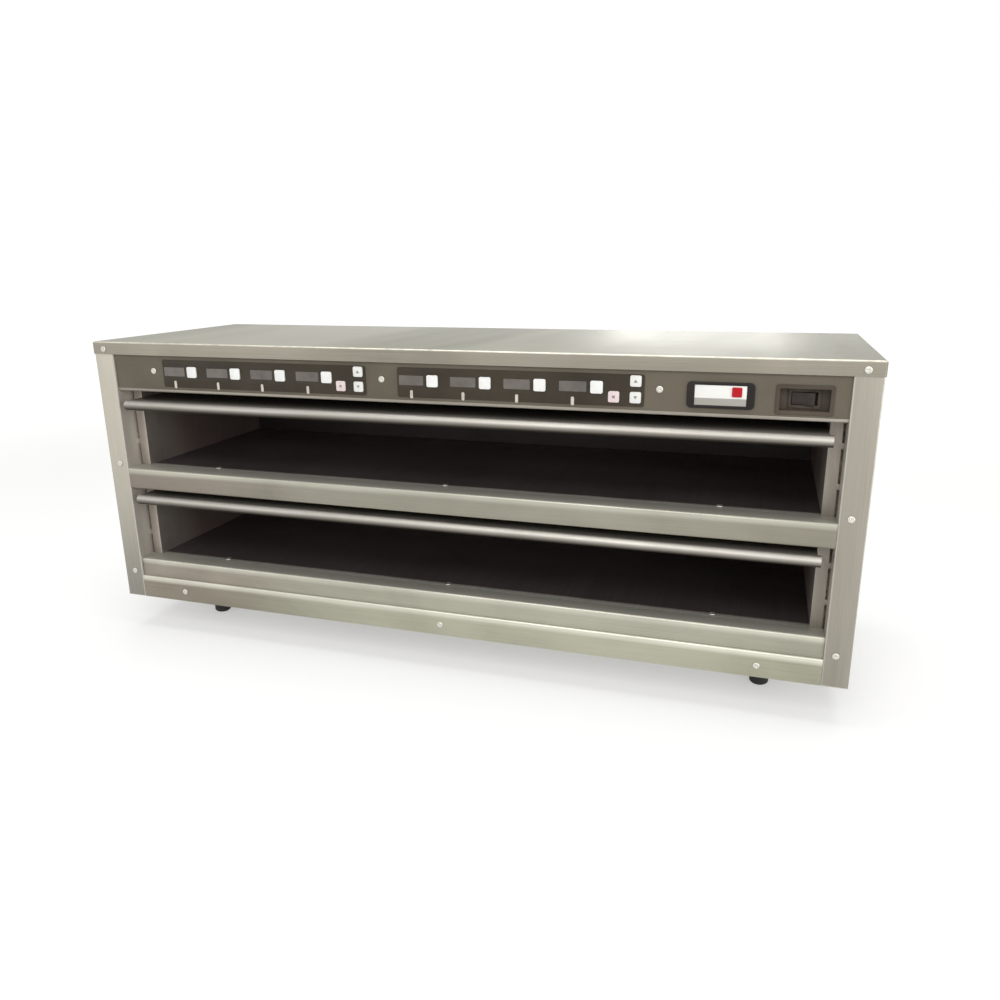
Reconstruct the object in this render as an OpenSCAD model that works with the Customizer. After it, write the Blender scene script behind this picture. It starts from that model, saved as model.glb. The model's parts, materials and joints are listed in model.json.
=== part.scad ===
// Two-tier heated holding cabinet for food pans: sheet-metal case on feet, a heated shelf and a
// heat plate in each tier, a sliding pan cover over each row of pans, and timer keypads above.
// Millimetres, +Z up, front towards -Y. The feet stand on z = 0.

/* [Cabinet] */
// outer width over the side panels
cabinet_w = 1180; // [1060:10:1400]
// depth from the column faces to the rear face
cabinet_d = 385; // [370:5:450]
// thickness of the folded sheet
sheet_t = 1.2; // [1:0.1:1.6]
// thickness of the top panel
top_t = 1.5; // [1.2:0.1:2.5]
// radius on the outside of the visible bends
bend_r = 3; // [2.5:0.1:4]
// width of each front column
column_w = 35; // [30:1:40]
// depth of the flange that turns in behind each column
column_return = 40; // [38:1:44]
// width of the rear flange of each side panel
rear_flange_w = 20; // [18:1:28]

/* [Front heights] */
// height of the base front cover
base_h = 39; // [34:1:46]
// height of the lower rail above it
lower_rail_h = 31; // [27:1:42]
// clear height of the lower opening
lower_opening_h = 126; // [110:1:160]
// height of the middle rail
middle_rail_h = 35; // [28:1:44]
// clear height of the upper opening
upper_opening_h = 130; // [110:1:160]
// height of the control panel between the upper opening and the top flange
panel_h = 59; // [57:1:75]
// height of the folded edge of the top panel
top_flange_h = 20; // [16:1:26]

/* [Front depths] */
// depth of the lower rail's face behind the column faces
lower_rail_in = 3; // [1:0.5:5]
// depth of the control panel's face behind the column faces
panel_in = 3; // [2:0.5:4]
// height of the lip under the control panel
panel_lip_h = 5; // [4.5:0.5:7]

/* [Tiers] */
// gap between each jamb and its column
jamb_gap = 3; // [2:0.5:5]
// width of each jamb
jamb_w = 16; // [12:1:20]
// depth of the jambs behind the column faces
jamb_in = 32; // [28:1:35]
// height of the lugs that hold the jambs to the columns
lug_h = 8; // [5:1:12]
// thickness of a heated shelf plate
shelf_t = 3; // [2.5:0.5:4]
// thickness of a heat plate over a tier
heat_plate_t = 2; // [1.5:0.5:3]
// thickness of a heater mat
heater_t = 2; // [1.6:0.2:3]
// distance of the heater mats from the edges of their plates
heater_margin = 50; // [40:2:70]
// thickness of the rear insulation
rear_gap = 24; // [15:1:30]
// thickness of the insulation above the upper heat plate
top_insulation_t = 10; // [6:1:12]
// width of the ledge under the shelf plate's front edge
shelf_ledge = 16; // [14:1:20]
// length of a temperature probe
probe_len = 35; // [20:1:36]

/* [Pan covers] */
// thickness of the cover sheet
cover_t = 1.2; // [1:0.1:1.6]
// diameter of the rolled front edge
roll_d = 16; // [13:0.5:18]
// how far the roll stands in front of the columns
roll_proud = 8; // [6:0.5:10]
// how far the roll reaches past the cover sheet at each end
roll_over = 4.5; // [0:0.5:8]
// gap between the lower cover's roll and the top of its opening
lower_cover_drop = 10; // [4:0.5:14]
// gap between the upper cover's roll and the top of its opening
upper_cover_drop = 15; // [4:0.5:20]
// width of the ledge that carries each side of the cover
cover_ledge = 10; // [6:1:16]
// side clearance between cover and jamb
cover_side_gap = 1; // [0.5:0.1:2]
// running clearance under and behind the cover
cover_gap = 0.3; // [0.2:0.1:0.5]

/* [Feet] */
// height of a foot
foot_h = 60; // [40:1:90]
// diameter of a foot
foot_d = 28; // [24:1:36]
// diameter of the collar at the top of a foot
foot_collar_d = 34; // [32:1:44]
// height of that collar
foot_collar_h = 8; // [5:1:14]
// distance of the feet from the sides
foot_in_x = 113; // [60:1:160]
// distance of the feet from the front and the rear
foot_in_y = 104; // [50:1:120]
// diameter of the stud of a foot
foot_stud_d = 8; // [6:1:10]

/* [Keypads] */
// height of one keypad
keypad_h = 43; // [42:1:46]
// thickness of one keypad
keypad_t = 1.2; // [0.8:0.1:1.6]
// corner radius of a keypad
keypad_r = 3; // [1:0.5:6]
// lower edge of the keypads above the lower edge of the control panel
keypad_up = 9.5; // [8:0.5:11]
// distance between timers
timer_pitch = 79.2; // [70:0.2:90]
// first timer button from the keypad's left edge
timer_first = 54.5; // [53:0.5:55]
// timer centre line above the keypad's lower edge
timer_up = 24.5; // [23:0.5:26]
// width of a timer button
button_w = 17; // [15:0.5:18]
// corner radius of buttons and keys
button_r = 2.5; // [1:0.5:4]
// how far a button stands out of the keypad
button_proud = 1.8; // [1.4:0.1:3]
// clearance around a button
button_gap = 0.3; // [0.2:0.05:0.4]
// travel that the buttons need behind the panel
button_travel = 1; // [0.8:0.1:1.4]
// width of a display window
display_w = 38; // [34:1:40]
// height of a display window
display_h = 14; // [10:1:16]
// display centre to the left of its button
display_left = 33; // [32:0.5:34]
// width of a timer lamp
lamp_w = 4.5; // [3:0.5:6]
// height of a timer lamp
lamp_h = 12; // [8:0.5:13]
// how far the lamps reach below the keypad's lower edge
lamp_drop = 1.5; // [0.5:0.5:2.5]
// width of a key
key_w = 15; // [12:0.5:16]
// first key column from the last timer button
key_gap = 23.4; // [22:0.1:30]
// distance between the key columns
key_pitch_x = 29; // [26:0.5:30]
// last key column from the keypad's right edge
key_margin = 11.5; // [11:0.5:16]
// lower key row above the keypad's lower edge
key_up = 12.5; // [11.5:0.5:13]
// distance between the key rows
key_pitch_z = 22; // [20:0.5:22]

/* [Panel spacing] */
// share of the panel's spare width to the left of the left keypad
left_share = 93; // [60:1:120]
// share of the spare width between the keypads
keypad_share = 51; // [40:1:80]
// share of the spare width between right keypad and badge
badge_share = 55; // [45:1:90]
// share of the spare width between badge and switch pocket
pocket_share = 28; // [22:1:60]
// share of the spare width to the right of the switch pocket
right_share = 22; // [18:1:50]

/* [Badge] */
// width of the badge bezel
badge_w = 85; // [78:1:86]
// height of the badge bezel
badge_h = 34; // [32:1:36]
// depth of the badge bezel
badge_t = 3; // [2.5:0.5:4]
// corner radius of the badge bezel
badge_r = 6; // [3:1:8]
// rim of the badge bezel around the plate at the top and bottom
badge_rim_z = 4; // [3:0.5:5]
// rim of the badge bezel at the sides
badge_rim_x = 10; // [8:1:12]
// thickness of the badge plate
badge_plate_t = 1.2; // [1:0.1:1.4]
// badge centre above the lower edge of the control panel
badge_up = 29; // [27:0.5:30]
// side of the pilot lens
lens_w = 12.5; // [11:0.5:14]
// pilot lens centre from the right edge of the badge plate
lens_in = 12; // [10:0.5:14]
// pilot lens centre above the centre of the badge
lens_up = 5; // [4:0.5:6]

/* [Power switch] */
// width of the switch pocket
pocket_w = 64; // [62:1:66]
// height of the switch pocket
pocket_h = 32; // [31:0.5:34]
// depth of the switch pocket behind the panel face
pocket_d = 13; // [12.5:0.5:16]
// wall of the switch pocket
pocket_wall = 2; // [1.5:0.1:2.2]
// rim of the pocket on the panel
pocket_rim = 3; // [2:0.5:4]
// pocket centre above the lower edge of the control panel
pocket_up = 27; // [26:0.5:28]
// width of the rocker
rocker_w = 28; // [26:0.5:29]
// height of the rocker
rocker_h = 16.4; // [15:0.2:16.8]
// tilt of the rocker to each side
rocker_tilt = 10; // [7:0.5:10]
// diameter of the rocker's pivot pins
pivot_d = 3; // [2.6:0.1:3.4]
// radial clearance of the pivot pins
pivot_gap = 0.05; // [0.03:0.01:0.08]

/* [Rear and inside] */
// diameter of the cord bore in the cable gland
gland_bore = 9; // [7:0.5:11]
// diameter of the thread of the cable gland
gland_thread = 16; // [14:0.5:18]
// how far the cable gland stands behind the cabinet
gland_proud = 14; // [12:0.5:20]
// gland from the right side of the cabinet
gland_in = 140; // [120:5:300]
// height of the gland above the component tray
gland_up = 24; // [20:1:28]
// number of vent slots in each group in the back panel
vent_count = 10; // [4:1:12]
// distance between vent slots
vent_pitch = 14; // [12:1:16]
// diameter of the wiring runs
wire_d = 6; // [4:0.5:7]

/* [Screws] */
// head diameter of the case screws
screw_head = 9.5; // [8:0.5:11]
// head height of the case screws
screw_head_h = 2; // [1.5:0.1:2.5]
// shank diameter of all screws
screw_d = 4; // [3:0.1:4.4]
// clearance of the screw shanks in their holes, on the radius
screw_gap = 0.1; // [0.05:0.05:0.2]
// column screws from the outer side
column_screw_in = 20; // [19:0.5:21]
// shelf screws behind the front edge of the shelf plate
shelf_screw_in = 8; // [7:0.5:8.5]
// outer shelf screws from the ends of the shelf plate
shelf_screw_side = 147; // [60:1:250]
// outer base screws from the ends of the base cover
base_screw_side = 85; // [40:1:250]

/* [Hidden] */
$fn = 48;
z_lower_shelf = base_h + lower_rail_h;
z_middle = z_lower_shelf + lower_opening_h;
z_upper_shelf = z_middle + middle_rail_h;
z_panel = z_upper_shelf + upper_opening_h;
z_flange = z_panel + panel_h;
z_top = z_flange + top_flange_h;
z_lid = z_top - top_t;
half_w = cabinet_w / 2;
front_half = half_w - column_w;
jamb_out = front_half - jamb_gap;
cavity_half = jamb_out - jamb_w;
back_y = cabinet_d - sheet_t;
liner_back_y = back_y - rear_gap;
rear_y = liner_back_y - sheet_t;
insulation_front = max(column_return, jamb_in + shelf_ledge);
shelf_screw_x = jamb_out - shelf_screw_side;
base_screw_x = front_half - base_screw_side;
mid_y = (cabinet_d + gland_proud - roll_proud) / 2;
inner_bend_r = bend_r - sheet_t;
z_lower_cover = z_middle - lower_cover_drop;
z_upper_cover = z_panel - upper_cover_drop;
eps = 0.5;

// Insulation and the tray above the upper heat plate
z_top_insulation = z_panel + heat_plate_t + heater_t;
z_tray = z_top_insulation + top_insulation_t;
tray_gap = 5;
tray_front = column_return + tray_gap;
z_tray_top = z_tray + sheet_t;

// Stack of the controls behind the control panel
panel_back = panel_in + sheet_t;
collar_t = 1;
collar_rim = 1.5;
collar_y = panel_back + button_gap;
stem_d = 4;
stem_len = 2.5;
stem_end = collar_y + collar_t + stem_len;
contact_gap = 0.5;
contact_top = stem_end + button_travel + contact_gap;
contact_w = 6;
contact_h = 3.5;
board_y = contact_top + contact_h;
board_t = 1.6;
board_inset = 4;
standoff_d = 5;
timer_count = 4;
standoff_shift = 6;
standoff_up = 5.5;
led_inset = 2.5;
led_gap = 0.5;
display_rim = 2;
key_first = timer_first + (timer_count - 1) * timer_pitch + key_gap;
keypad_w = key_first + key_pitch_x + key_margin;
spare_w = 2 * front_half - 2 * keypad_w - badge_w - pocket_w;
share_sum = left_share + keypad_share + badge_share + pocket_share + right_share;
share_w = spare_w / share_sum;
keypad_pitch = keypad_w + keypad_share * share_w;
keypad_left = [for (i = [0, 1]) -front_half + left_share * share_w + i * keypad_pitch];
z_keypad = z_panel + keypad_up;
z_timer = z_keypad + timer_up;
timer_x = [for (i = [0 : timer_count - 1]) timer_first + i * timer_pitch];
key_spots = [
    [key_first, key_up],
    [key_first + key_pitch_x, key_up],
    [key_first + key_pitch_x, key_up + key_pitch_z]
];
board_w = keypad_w - 2 * board_inset;
board_h = keypad_h - 2 * board_inset;

// Screws of the control panel stand beside and between the keypads
panel_screw_x = [
    keypad_left[0] - left_share * share_w * 0.2,
    (keypad_left[0] + keypad_w + keypad_left[1]) / 2,
    keypad_left[1] + keypad_w + badge_share * share_w * 0.36
];
clinch_d = 8;
clinch_len = 4;

// Badge and power switch
pocket_x = front_half - right_share * share_w - pocket_w / 2;
badge_x = pocket_x - pocket_w / 2 - pocket_share * share_w - badge_w / 2;
z_badge = z_panel + badge_up;
plate_w = badge_w - 2 * badge_rim_x;
plate_h = badge_h - 2 * badge_rim_z;
badge_floor = 1;
lens_x = badge_x + plate_w / 2 - lens_in;
z_lens = z_badge + lens_up;
lens_t = 1.6;
lens_r = 1.5;
lens_tube_d = 7;
lens_tube_len = 14;
lens_tube_gap = 0.2;
z_pocket = z_panel + pocket_up;
pocket_floor_y = panel_in + pocket_d;
pocket_floor_t = 2;
pocket_rim_t = 1.5;
pocket_fit = 0.2;
switch_flange_t = 1.5;
switch_front_y = pocket_floor_y - switch_flange_t;
switch_len = 19;
well_gap = 1.8;
well_w = rocker_w + 2 * well_gap;
well_h = rocker_h + 2 * button_gap;
well_d = 12.5;
switch_wall = 2;
switch_w = well_w + 2 * switch_wall;
switch_h = well_h + 2 * switch_wall;
switch_flange = 2;
pivot_in = 5.5;
pivot_y = switch_front_y + pivot_in;
rocker_valley = 7;
rocker_waist = 2;
rocker_heel = 4;
rocker_rise = rocker_w / 2 * tan(rocker_tilt);
blade_len = 8;
blade_w = 5;
blade_t = 1;
blade_x = 9;

// Cable gland and tray fittings at the rear
gland_x = half_w - gland_in;
z_gland = z_tray_top + gland_up;
gland_hex_rim = 5;
gland_hex_d = gland_thread + 2 * gland_hex_rim;
gland_hex_t = 6;
gland_nut_t = 5;
gland_tail = 4;
gland_cap_rim = 2;
gland_cap_d = gland_thread + 2 * gland_cap_rim;
terminal_w = 60;
terminal_d = 25;
terminal_h = 22;
terminal_screw_d = 6;
terminal_screw_h = 5;
terminal_gap = 60;
terminal_y = liner_back_y - terminal_gap;
wire_bulge = 0.03 * wire_d;
power_w = 160;
power_d = 100;
power_x = 40;
power_in = 105;
power_y = tray_front + power_in;
power_standoff = wire_d + 2 * wire_bulge;
z_power = z_tray_top + power_standoff;
leg_d = 6;
relay_w = 20;
relay_d = 30;
relay_h = 18;
transformer_w = 46;
transformer_d = 40;
transformer_h = 26;

// Positions shared by holes and screws
screw_rise = 7;
column_screw_z = [z_upper_shelf + screw_rise, base_h + screw_rise];
column_screw_len = 8;
lid_screw_z = z_flange + top_flange_h * 0.4;
back_screw_z = [for (k = [0.1, 0.37, 0.66, 0.91]) k * z_lid];
base_screw_z = base_h * 0.45;
clearance_r = screw_d / 2 + screw_gap;

// Moves a piece from the cabinet's own axes (y = 0 at the column faces, z = 0 under the base)
module place() {
    translate([0, -mid_y, foot_h])
        children();
}

// A block between two corners
module block(low, high) {
    translate(low)
        cube(high - low);
}

// A plate that faces forward: the 2D outline is drawn in x and z
module facing(y, t) {
    translate([0, y + t, 0])
        rotate([90, 0, 0])
            linear_extrude(t)
                children();
}

// A folded strip across the cabinet: the 2D outline is drawn in y and z
module across(w) {
    translate([-w / 2, 0, 0])
        rotate([90, 0, 90])
            linear_extrude(w)
                children();
}

// A rod or bore that runs from front to rear
module rod_y(x, y, z, r, len) {
    translate([x, y, z])
        rotate([-90, 0, 0])
            cylinder(h = len, r = r);
}

// A rectangle with rounded corners about its centre
module round_rect(w, h, r) {
    square([w - 2 * r, h], center = true);
    square([w, h - 2 * r], center = true);
    for (sx = [-1, 1], sz = [-1, 1])
        translate([sx * (w / 2 - r), sz * (h / 2 - r)])
            circle(r);
}

// Outline in y and z with rounded front corners
module bent_front(d, h, r) {
    translate([r, 0])
        square([d - r, h]);
    translate([0, r])
        square([2 * r, h - 2 * r]);
    for (z = [r, h - r])
        translate([r, z])
            circle(r);
}

// Folded channel that is open to the rear
module channel(d, h) {
    difference() {
        bent_front(d, h, bend_r);
        translate([sheet_t, sheet_t])
            bent_front(d, h - 2 * sheet_t, inner_bend_r);
    }
}

// Rail with a channel front and a stepped ledge for the shelf plate
module rail_outline(face_y, low_z, shelf_z) {
    translate([face_y, low_z])
        channel(jamb_in - face_y, shelf_z - low_z);
    translate([jamb_in - sheet_t, shelf_z - shelf_t - sheet_t])
        square([sheet_t, shelf_t + sheet_t]);
    translate([jamb_in - sheet_t, shelf_z - shelf_t - sheet_t])
        square([sheet_t + shelf_ledge, sheet_t]);
}

// Screw with a low domed head: the head's seat is at y, the shank goes to the rear
module screw_y(x, y, z, head_d, shank_len) {
    rod_y(x, y, z, screw_d / 2, shank_len);
    translate([x, y, z])
        rotate([90, 0, 0])
            screw_head(head_d);
}

// Low head: a short cylinder with a smaller rounded crown
module screw_head(head_d) {
    cylinder(h = screw_head_h * 0.6, r = head_d / 2);
    translate([0, 0, screw_head_h * 0.6])
        cylinder(h = screw_head_h * 0.4, r1 = head_d / 2, r2 = head_d * 0.32);
}

// Straight cable runs through a list of points
module cable(points) {
    for (i = [0 : len(points) - 2]) {
        run = points[i + 1] - points[i];
        translate(points[i])
            rotate([0, acos(run.z / norm(run)), atan2(run.y, run.x)])
                cylinder(h = norm(run), r = wire_d / 2);
    }
    for (i = [1 : 1 : len(points) - 2])
        translate(points[i])
            sphere(wire_d / 2 + wire_bulge);
}

// Side panel outline, seen from above, for the left side
module side_outline() {
    translate([-half_w, 0]) {
        square([sheet_t, cabinet_d]);
        square([column_w, sheet_t]);
        translate([column_w - sheet_t, 0])
            square([sheet_t, column_return]);
        translate([0, back_y - sheet_t])
            square([rear_flange_w, sheet_t]);
    }
}

module side_panel() {
    difference() {
        translate([0, 0, sheet_t])
            linear_extrude(z_lid - sheet_t)
                side_outline();
        for (z = concat(column_screw_z, [lid_screw_z]))
            rod_y(-half_w + column_screw_in, -eps, z, clearance_r, sheet_t + 2 * eps);
        for (z = back_screw_z)
            rod_y(-half_w + rear_flange_w / 2, back_y - sheet_t - eps, z, clearance_r, sheet_t + 2 * eps);
    }
}

module side_panel_left() {
    color([0.69, 0.67, 0.61])
        place()
            side_panel();
}

module side_panel_right() {
    color([0.69, 0.67, 0.61])
        place()
            mirror([1, 0, 0])
                side_panel();
}

// Lid with a folded edge outside the columns, sides and back
module top_panel() {
    color([0.82, 0.83, 0.78])
        place()
            difference() {
                block([-half_w - top_t, -top_t, z_flange], [half_w + top_t, cabinet_d + top_t, z_top]);
                block([-half_w, 0, z_flange - eps], [half_w, cabinet_d, z_lid]);
                for (s = [-1, 1])
                    rod_y(s * (half_w - column_screw_in), -top_t - eps, lid_screw_z, clearance_r,
                          top_t + 2 * eps);
            }
}

// Base plate with an upstand behind the base front cover
module base_pan() {
    color([0.6, 0.59, 0.55])
        place()
            difference() {
                union() {
                    block([-half_w, 0, 0], [half_w, cabinet_d, sheet_t]);
                    block([-front_half, sheet_t, 0], [front_half, 2 * sheet_t, base_h - bend_r - sheet_t]);
                }
                block([-front_half, -eps, -eps], [front_half, sheet_t, sheet_t + eps]);
                for (s = [-1, 0, 1])
                    rod_y(s * base_screw_x, 0, base_screw_z, clearance_r, 3 * sheet_t);
                for (sx = [-1, 1], y = [foot_in_y, cabinet_d - foot_in_y])
                    translate([sx * (half_w - foot_in_x), y, -eps])
                        cylinder(h = sheet_t + 2 * eps, r = foot_stud_d / 2 + screw_gap);
            }
}

// Back panel with the gland hole and two groups of vent slots
module back_panel() {
    vent_h = 26;
    vent_w = 5;
    vent_r = 2;
    vent_x = cabinet_w * 0.2;
    color([0.66, 0.65, 0.6])
        place()
            difference() {
                block([-half_w + sheet_t, back_y, sheet_t], [half_w - sheet_t, cabinet_d, z_lid]);
                rod_y(gland_x, back_y - eps, z_gland, gland_thread / 2 + screw_gap, sheet_t + 2 * eps);
                for (s = [-1, 1], z = back_screw_z)
                    rod_y(s * (half_w - rear_flange_w / 2), back_y - eps, z, clearance_r, sheet_t + 2 * eps);
                for (s = [-1, 1], i = [0 : vent_count - 1])
                    facing(back_y - eps, sheet_t + 2 * eps)
                        translate([s * vent_x + (i - (vent_count - 1) / 2) * vent_pitch, z_gland])
                            round_rect(vent_w, vent_h, vent_r);
            }
}

// Base front cover, folded back along its top edge
module base_front_cover() {
    cover_d = 22;
    color([0.68, 0.66, 0.6])
        place()
            difference() {
                across(2 * front_half)
                    difference() {
                        union() {
                            bent_front(cover_d, base_h, bend_r);
                            square([sheet_t, bend_r]);
                        }
                        translate([sheet_t, -bend_r])
                            bent_front(cover_d, base_h + bend_r - sheet_t, inner_bend_r);
                    }
                for (s = [-1, 0, 1])
                    rod_y(s * base_screw_x, -eps, base_screw_z, clearance_r, sheet_t + 2 * eps);
            }
}

// Lower rail, whose face runs straight down to the base front cover
module lower_rail() {
    color([0.68, 0.66, 0.6])
        place()
            difference() {
                across(2 * front_half) {
                    rail_outline(lower_rail_in, base_h, z_lower_shelf);
                    translate([lower_rail_in, base_h]) {
                        square([sheet_t, bend_r]);
                        square([bend_r, sheet_t]);
                    }
                }
                shelf_screw_holes(z_lower_shelf);
            }
}

module middle_rail() {
    color([0.72, 0.7, 0.64])
        place()
            difference() {
                across(2 * front_half)
                    rail_outline(0, z_middle, z_upper_shelf);
                shelf_screw_holes(z_upper_shelf);
            }
}

// Flat fascia with holes for buttons, displays, screws, pilot lamp and switch pocket
module control_panel() {
    color([0.42, 0.4, 0.36])
        place() {
            difference() {
                union() {
                    block([-front_half, panel_in, z_panel + panel_lip_h], [front_half, panel_back, z_lid]);
                    for (x = panel_screw_x)
                        rod_y(x, panel_back, z_timer, clinch_d / 2, clinch_len);
                }
                for (x = panel_screw_x)
                    rod_y(x, panel_in - eps, z_timer, clearance_r, sheet_t + clinch_len + 2 * eps);
                for (side = [0, 1]) {
                    facing(panel_in - eps, sheet_t + 2 * eps)
                        translate([keypad_left[side], z_keypad])
                            button_holes();
                    facing(panel_in - eps, sheet_t + 2 * eps)
                        for (x = timer_x)
                            translate([keypad_left[side] + x - display_left, z_timer])
                                square([display_w - 2 * display_rim, display_h - 2 * display_rim],
                                       center = true);
                }
                rod_y(lens_x, panel_in - eps, z_lens, lens_tube_d / 2 + lens_tube_gap, sheet_t + 2 * eps);
                facing(panel_in - eps, sheet_t + 2 * eps)
                    translate([pocket_x, z_pocket])
                        square([pocket_w + 2 * pocket_fit, pocket_h + 2 * pocket_fit], center = true);
            }
        }
}

// Bright strip along the lower edge of the control panel, folded back over the opening
module panel_lip() {
    color([0.5, 0.48, 0.43])
        place()
            across(2 * front_half)
                translate([panel_in, z_panel])
                    difference() {
                        intersection() {
                            bent_front(jamb_in - panel_in, 3 * panel_lip_h, bend_r);
                            square([jamb_in, panel_lip_h]);
                        }
                        translate([sheet_t, sheet_t])
                            bent_front(jamb_in, 3 * panel_lip_h, inner_bend_r);
                    }
}

// Holes of the shelf screws through a shelf plate and its rail
module shelf_screw_holes(shelf_z) {
    for (s = [-1, 0, 1])
        translate([s * shelf_screw_x, jamb_in + shelf_screw_in, shelf_z - shelf_t - sheet_t - eps])
            cylinder(h = shelf_t + sheet_t + 2 * eps, r = clearance_r);
}

module shelf_plate(shelf_z) {
    color([0.13, 0.12, 0.12])
        place()
            difference() {
                block([-jamb_out, jamb_in, shelf_z - shelf_t], [jamb_out, liner_back_y, shelf_z]);
                shelf_screw_holes(shelf_z);
            }
}

module lower_shelf_plate() {
    shelf_plate(z_lower_shelf);
}

module upper_shelf_plate() {
    shelf_plate(z_upper_shelf);
}

module heat_plate(z) {
    color([0.16, 0.15, 0.15])
        place()
            block([-jamb_out, jamb_in, z], [jamb_out, liner_back_y, z + heat_plate_t]);
}

module lower_heat_plate() {
    heat_plate(z_middle);
}

module upper_heat_plate() {
    heat_plate(z_panel);
}

// Left side liner: wall, jamb, cover ledge and the lugs that reach the column
module side_liner(shelf_z, h, cover_top) {
    ledge_z = cover_top - cover_t - cover_gap;
    block([-cavity_half - sheet_t, jamb_in, shelf_z], [-cavity_half, rear_y, shelf_z + h]);
    block([-jamb_out, jamb_in, shelf_z], [-cavity_half, jamb_in + sheet_t, shelf_z + h]);
    block([-cavity_half - sheet_t, jamb_in, ledge_z - sheet_t],
          [-cavity_half + cover_ledge, rear_y, ledge_z]);
    for (k = [0.31, 0.73])
        block([-front_half, jamb_in, shelf_z + k * h - lug_h / 2],
              [-jamb_out + eps, jamb_in + sheet_t, shelf_z + k * h + lug_h / 2]);
}

module lower_liner_left() {
    color([0.55, 0.53, 0.48])
        place()
            side_liner(z_lower_shelf, lower_opening_h, z_lower_cover);
}

module lower_liner_right() {
    color([0.55, 0.53, 0.48])
        place()
            mirror([1, 0, 0])
                side_liner(z_lower_shelf, lower_opening_h, z_lower_cover);
}

module upper_liner_left() {
    color([0.55, 0.53, 0.48])
        place()
            side_liner(z_upper_shelf, upper_opening_h, z_upper_cover);
}

module upper_liner_right() {
    color([0.55, 0.53, 0.48])
        place()
            mirror([1, 0, 0])
                side_liner(z_upper_shelf, upper_opening_h, z_upper_cover);
}

module rear_liner(shelf_z, h) {
    color([0.14, 0.13, 0.13])
        place()
            block([-jamb_out, rear_y, shelf_z], [jamb_out, liner_back_y, shelf_z + h]);
}

module lower_rear_liner() {
    rear_liner(z_lower_shelf, lower_opening_h);
}

module upper_rear_liner() {
    rear_liner(z_upper_shelf, upper_opening_h);
}

module heater_mat(z) {
    block([-jamb_out + heater_margin, jamb_in + heater_margin, z],
          [jamb_out - heater_margin, liner_back_y - heater_margin, z + heater_t]);
}

// Silicone mats under both shelf plates
module shelf_heaters() {
    color([0.7, 0.25, 0.12])
        place()
            for (z = [z_lower_shelf, z_upper_shelf])
                heater_mat(z - shelf_t - heater_t);
}

// Silicone mats on both heat plates
module top_heaters() {
    color([0.7, 0.25, 0.12])
        place()
            for (z = [z_middle, z_panel])
                heater_mat(z + heat_plate_t);
}

// Probes that lie against the plates beside the heater mats
module temperature_probes() {
    probe_r = heater_t / 2;
    color([0.75, 0.75, 0.75])
        place()
            for (z = [z_lower_shelf - shelf_t - probe_r, z_upper_shelf - shelf_t - probe_r,
                      z_middle + heat_plate_t + probe_r, z_panel + heat_plate_t + probe_r])
                translate([jamb_out - probe_len, cabinet_d / 2, z])
                    rotate([0, 90, 0])
                        cylinder(h = probe_len, r = probe_r);
}

// Blocks in the side walls and behind the rear liners
module wall_insulation() {
    split = 0.5;
    color([0.85, 0.8, 0.6])
        place() {
            for (s = [0, 1])
                mirror([s, 0, 0])
                    block([-half_w + sheet_t, insulation_front, sheet_t],
                          [-jamb_out, back_y - sheet_t, z_panel]);
            block([-jamb_out + split, liner_back_y, sheet_t], [jamb_out - split, back_y, z_panel]);
        }
}

// Slabs under the lower shelf, between the tiers and above the upper heat plate
module insulation_slabs() {
    shelf_depth = shelf_t + heater_t;
    color([0.88, 0.84, 0.66])
        place() {
            block([-jamb_out, jamb_in, sheet_t], [jamb_out, liner_back_y, z_lower_shelf - shelf_depth]);
            block([-jamb_out, jamb_in, z_middle + heat_plate_t + heater_t],
                  [jamb_out, liner_back_y, z_upper_shelf - shelf_depth]);
            block([-jamb_out, jamb_in, z_top_insulation], [jamb_out, liner_back_y, z_tray]);
        }
}

// Sheet that carries the electrical parts
module component_tray() {
    color([0.7, 0.7, 0.68])
        place()
            block([-jamb_out, tray_front, z_tray], [jamb_out, back_y, z_tray_top]);
}

// Power board on standoffs with its transformer and relays
module power_board() {
    relays = 3;
    relay_pitch = relay_w * 1.4;
    seat = z_power + board_t / 2;
    color([0.12, 0.32, 0.2])
        place() {
            block([power_x, power_y, z_power], [power_x + power_w, power_y + power_d, z_power + board_t]);
            for (x = [leg_d, power_w - leg_d], y = [leg_d, power_d - leg_d])
                translate([power_x + x, power_y + y, z_tray_top])
                    cylinder(h = power_standoff + board_t / 2, r = leg_d / 2);
            for (i = [0 : relays - 1])
                translate([power_x + power_w * 0.1 + i * relay_pitch, power_y + power_d * 0.6, seat])
                    cube([relay_w, relay_d, relay_h]);
            translate([power_x + power_w * 0.64, power_y + power_d * 0.2, seat])
                cube([transformer_w, transformer_d, transformer_h]);
        }
}

// Terminal block in front of the gland
module terminal_block() {
    ways = 4;
    way_pitch = terminal_w / ways;
    color([0.9, 0.88, 0.8])
        place()
            difference() {
                block([gland_x - terminal_w / 2, terminal_y, z_tray_top],
                      [gland_x + terminal_w / 2, terminal_y + terminal_d, z_tray_top + terminal_h]);
                for (i = [0 : ways - 1])
                    translate([gland_x + (i - (ways - 1) / 2) * way_pitch, terminal_y + terminal_d / 2,
                               z_tray_top + terminal_h - terminal_screw_h])
                        cylinder(h = terminal_screw_h + eps, r = terminal_screw_d / 2);
            }
}

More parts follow.
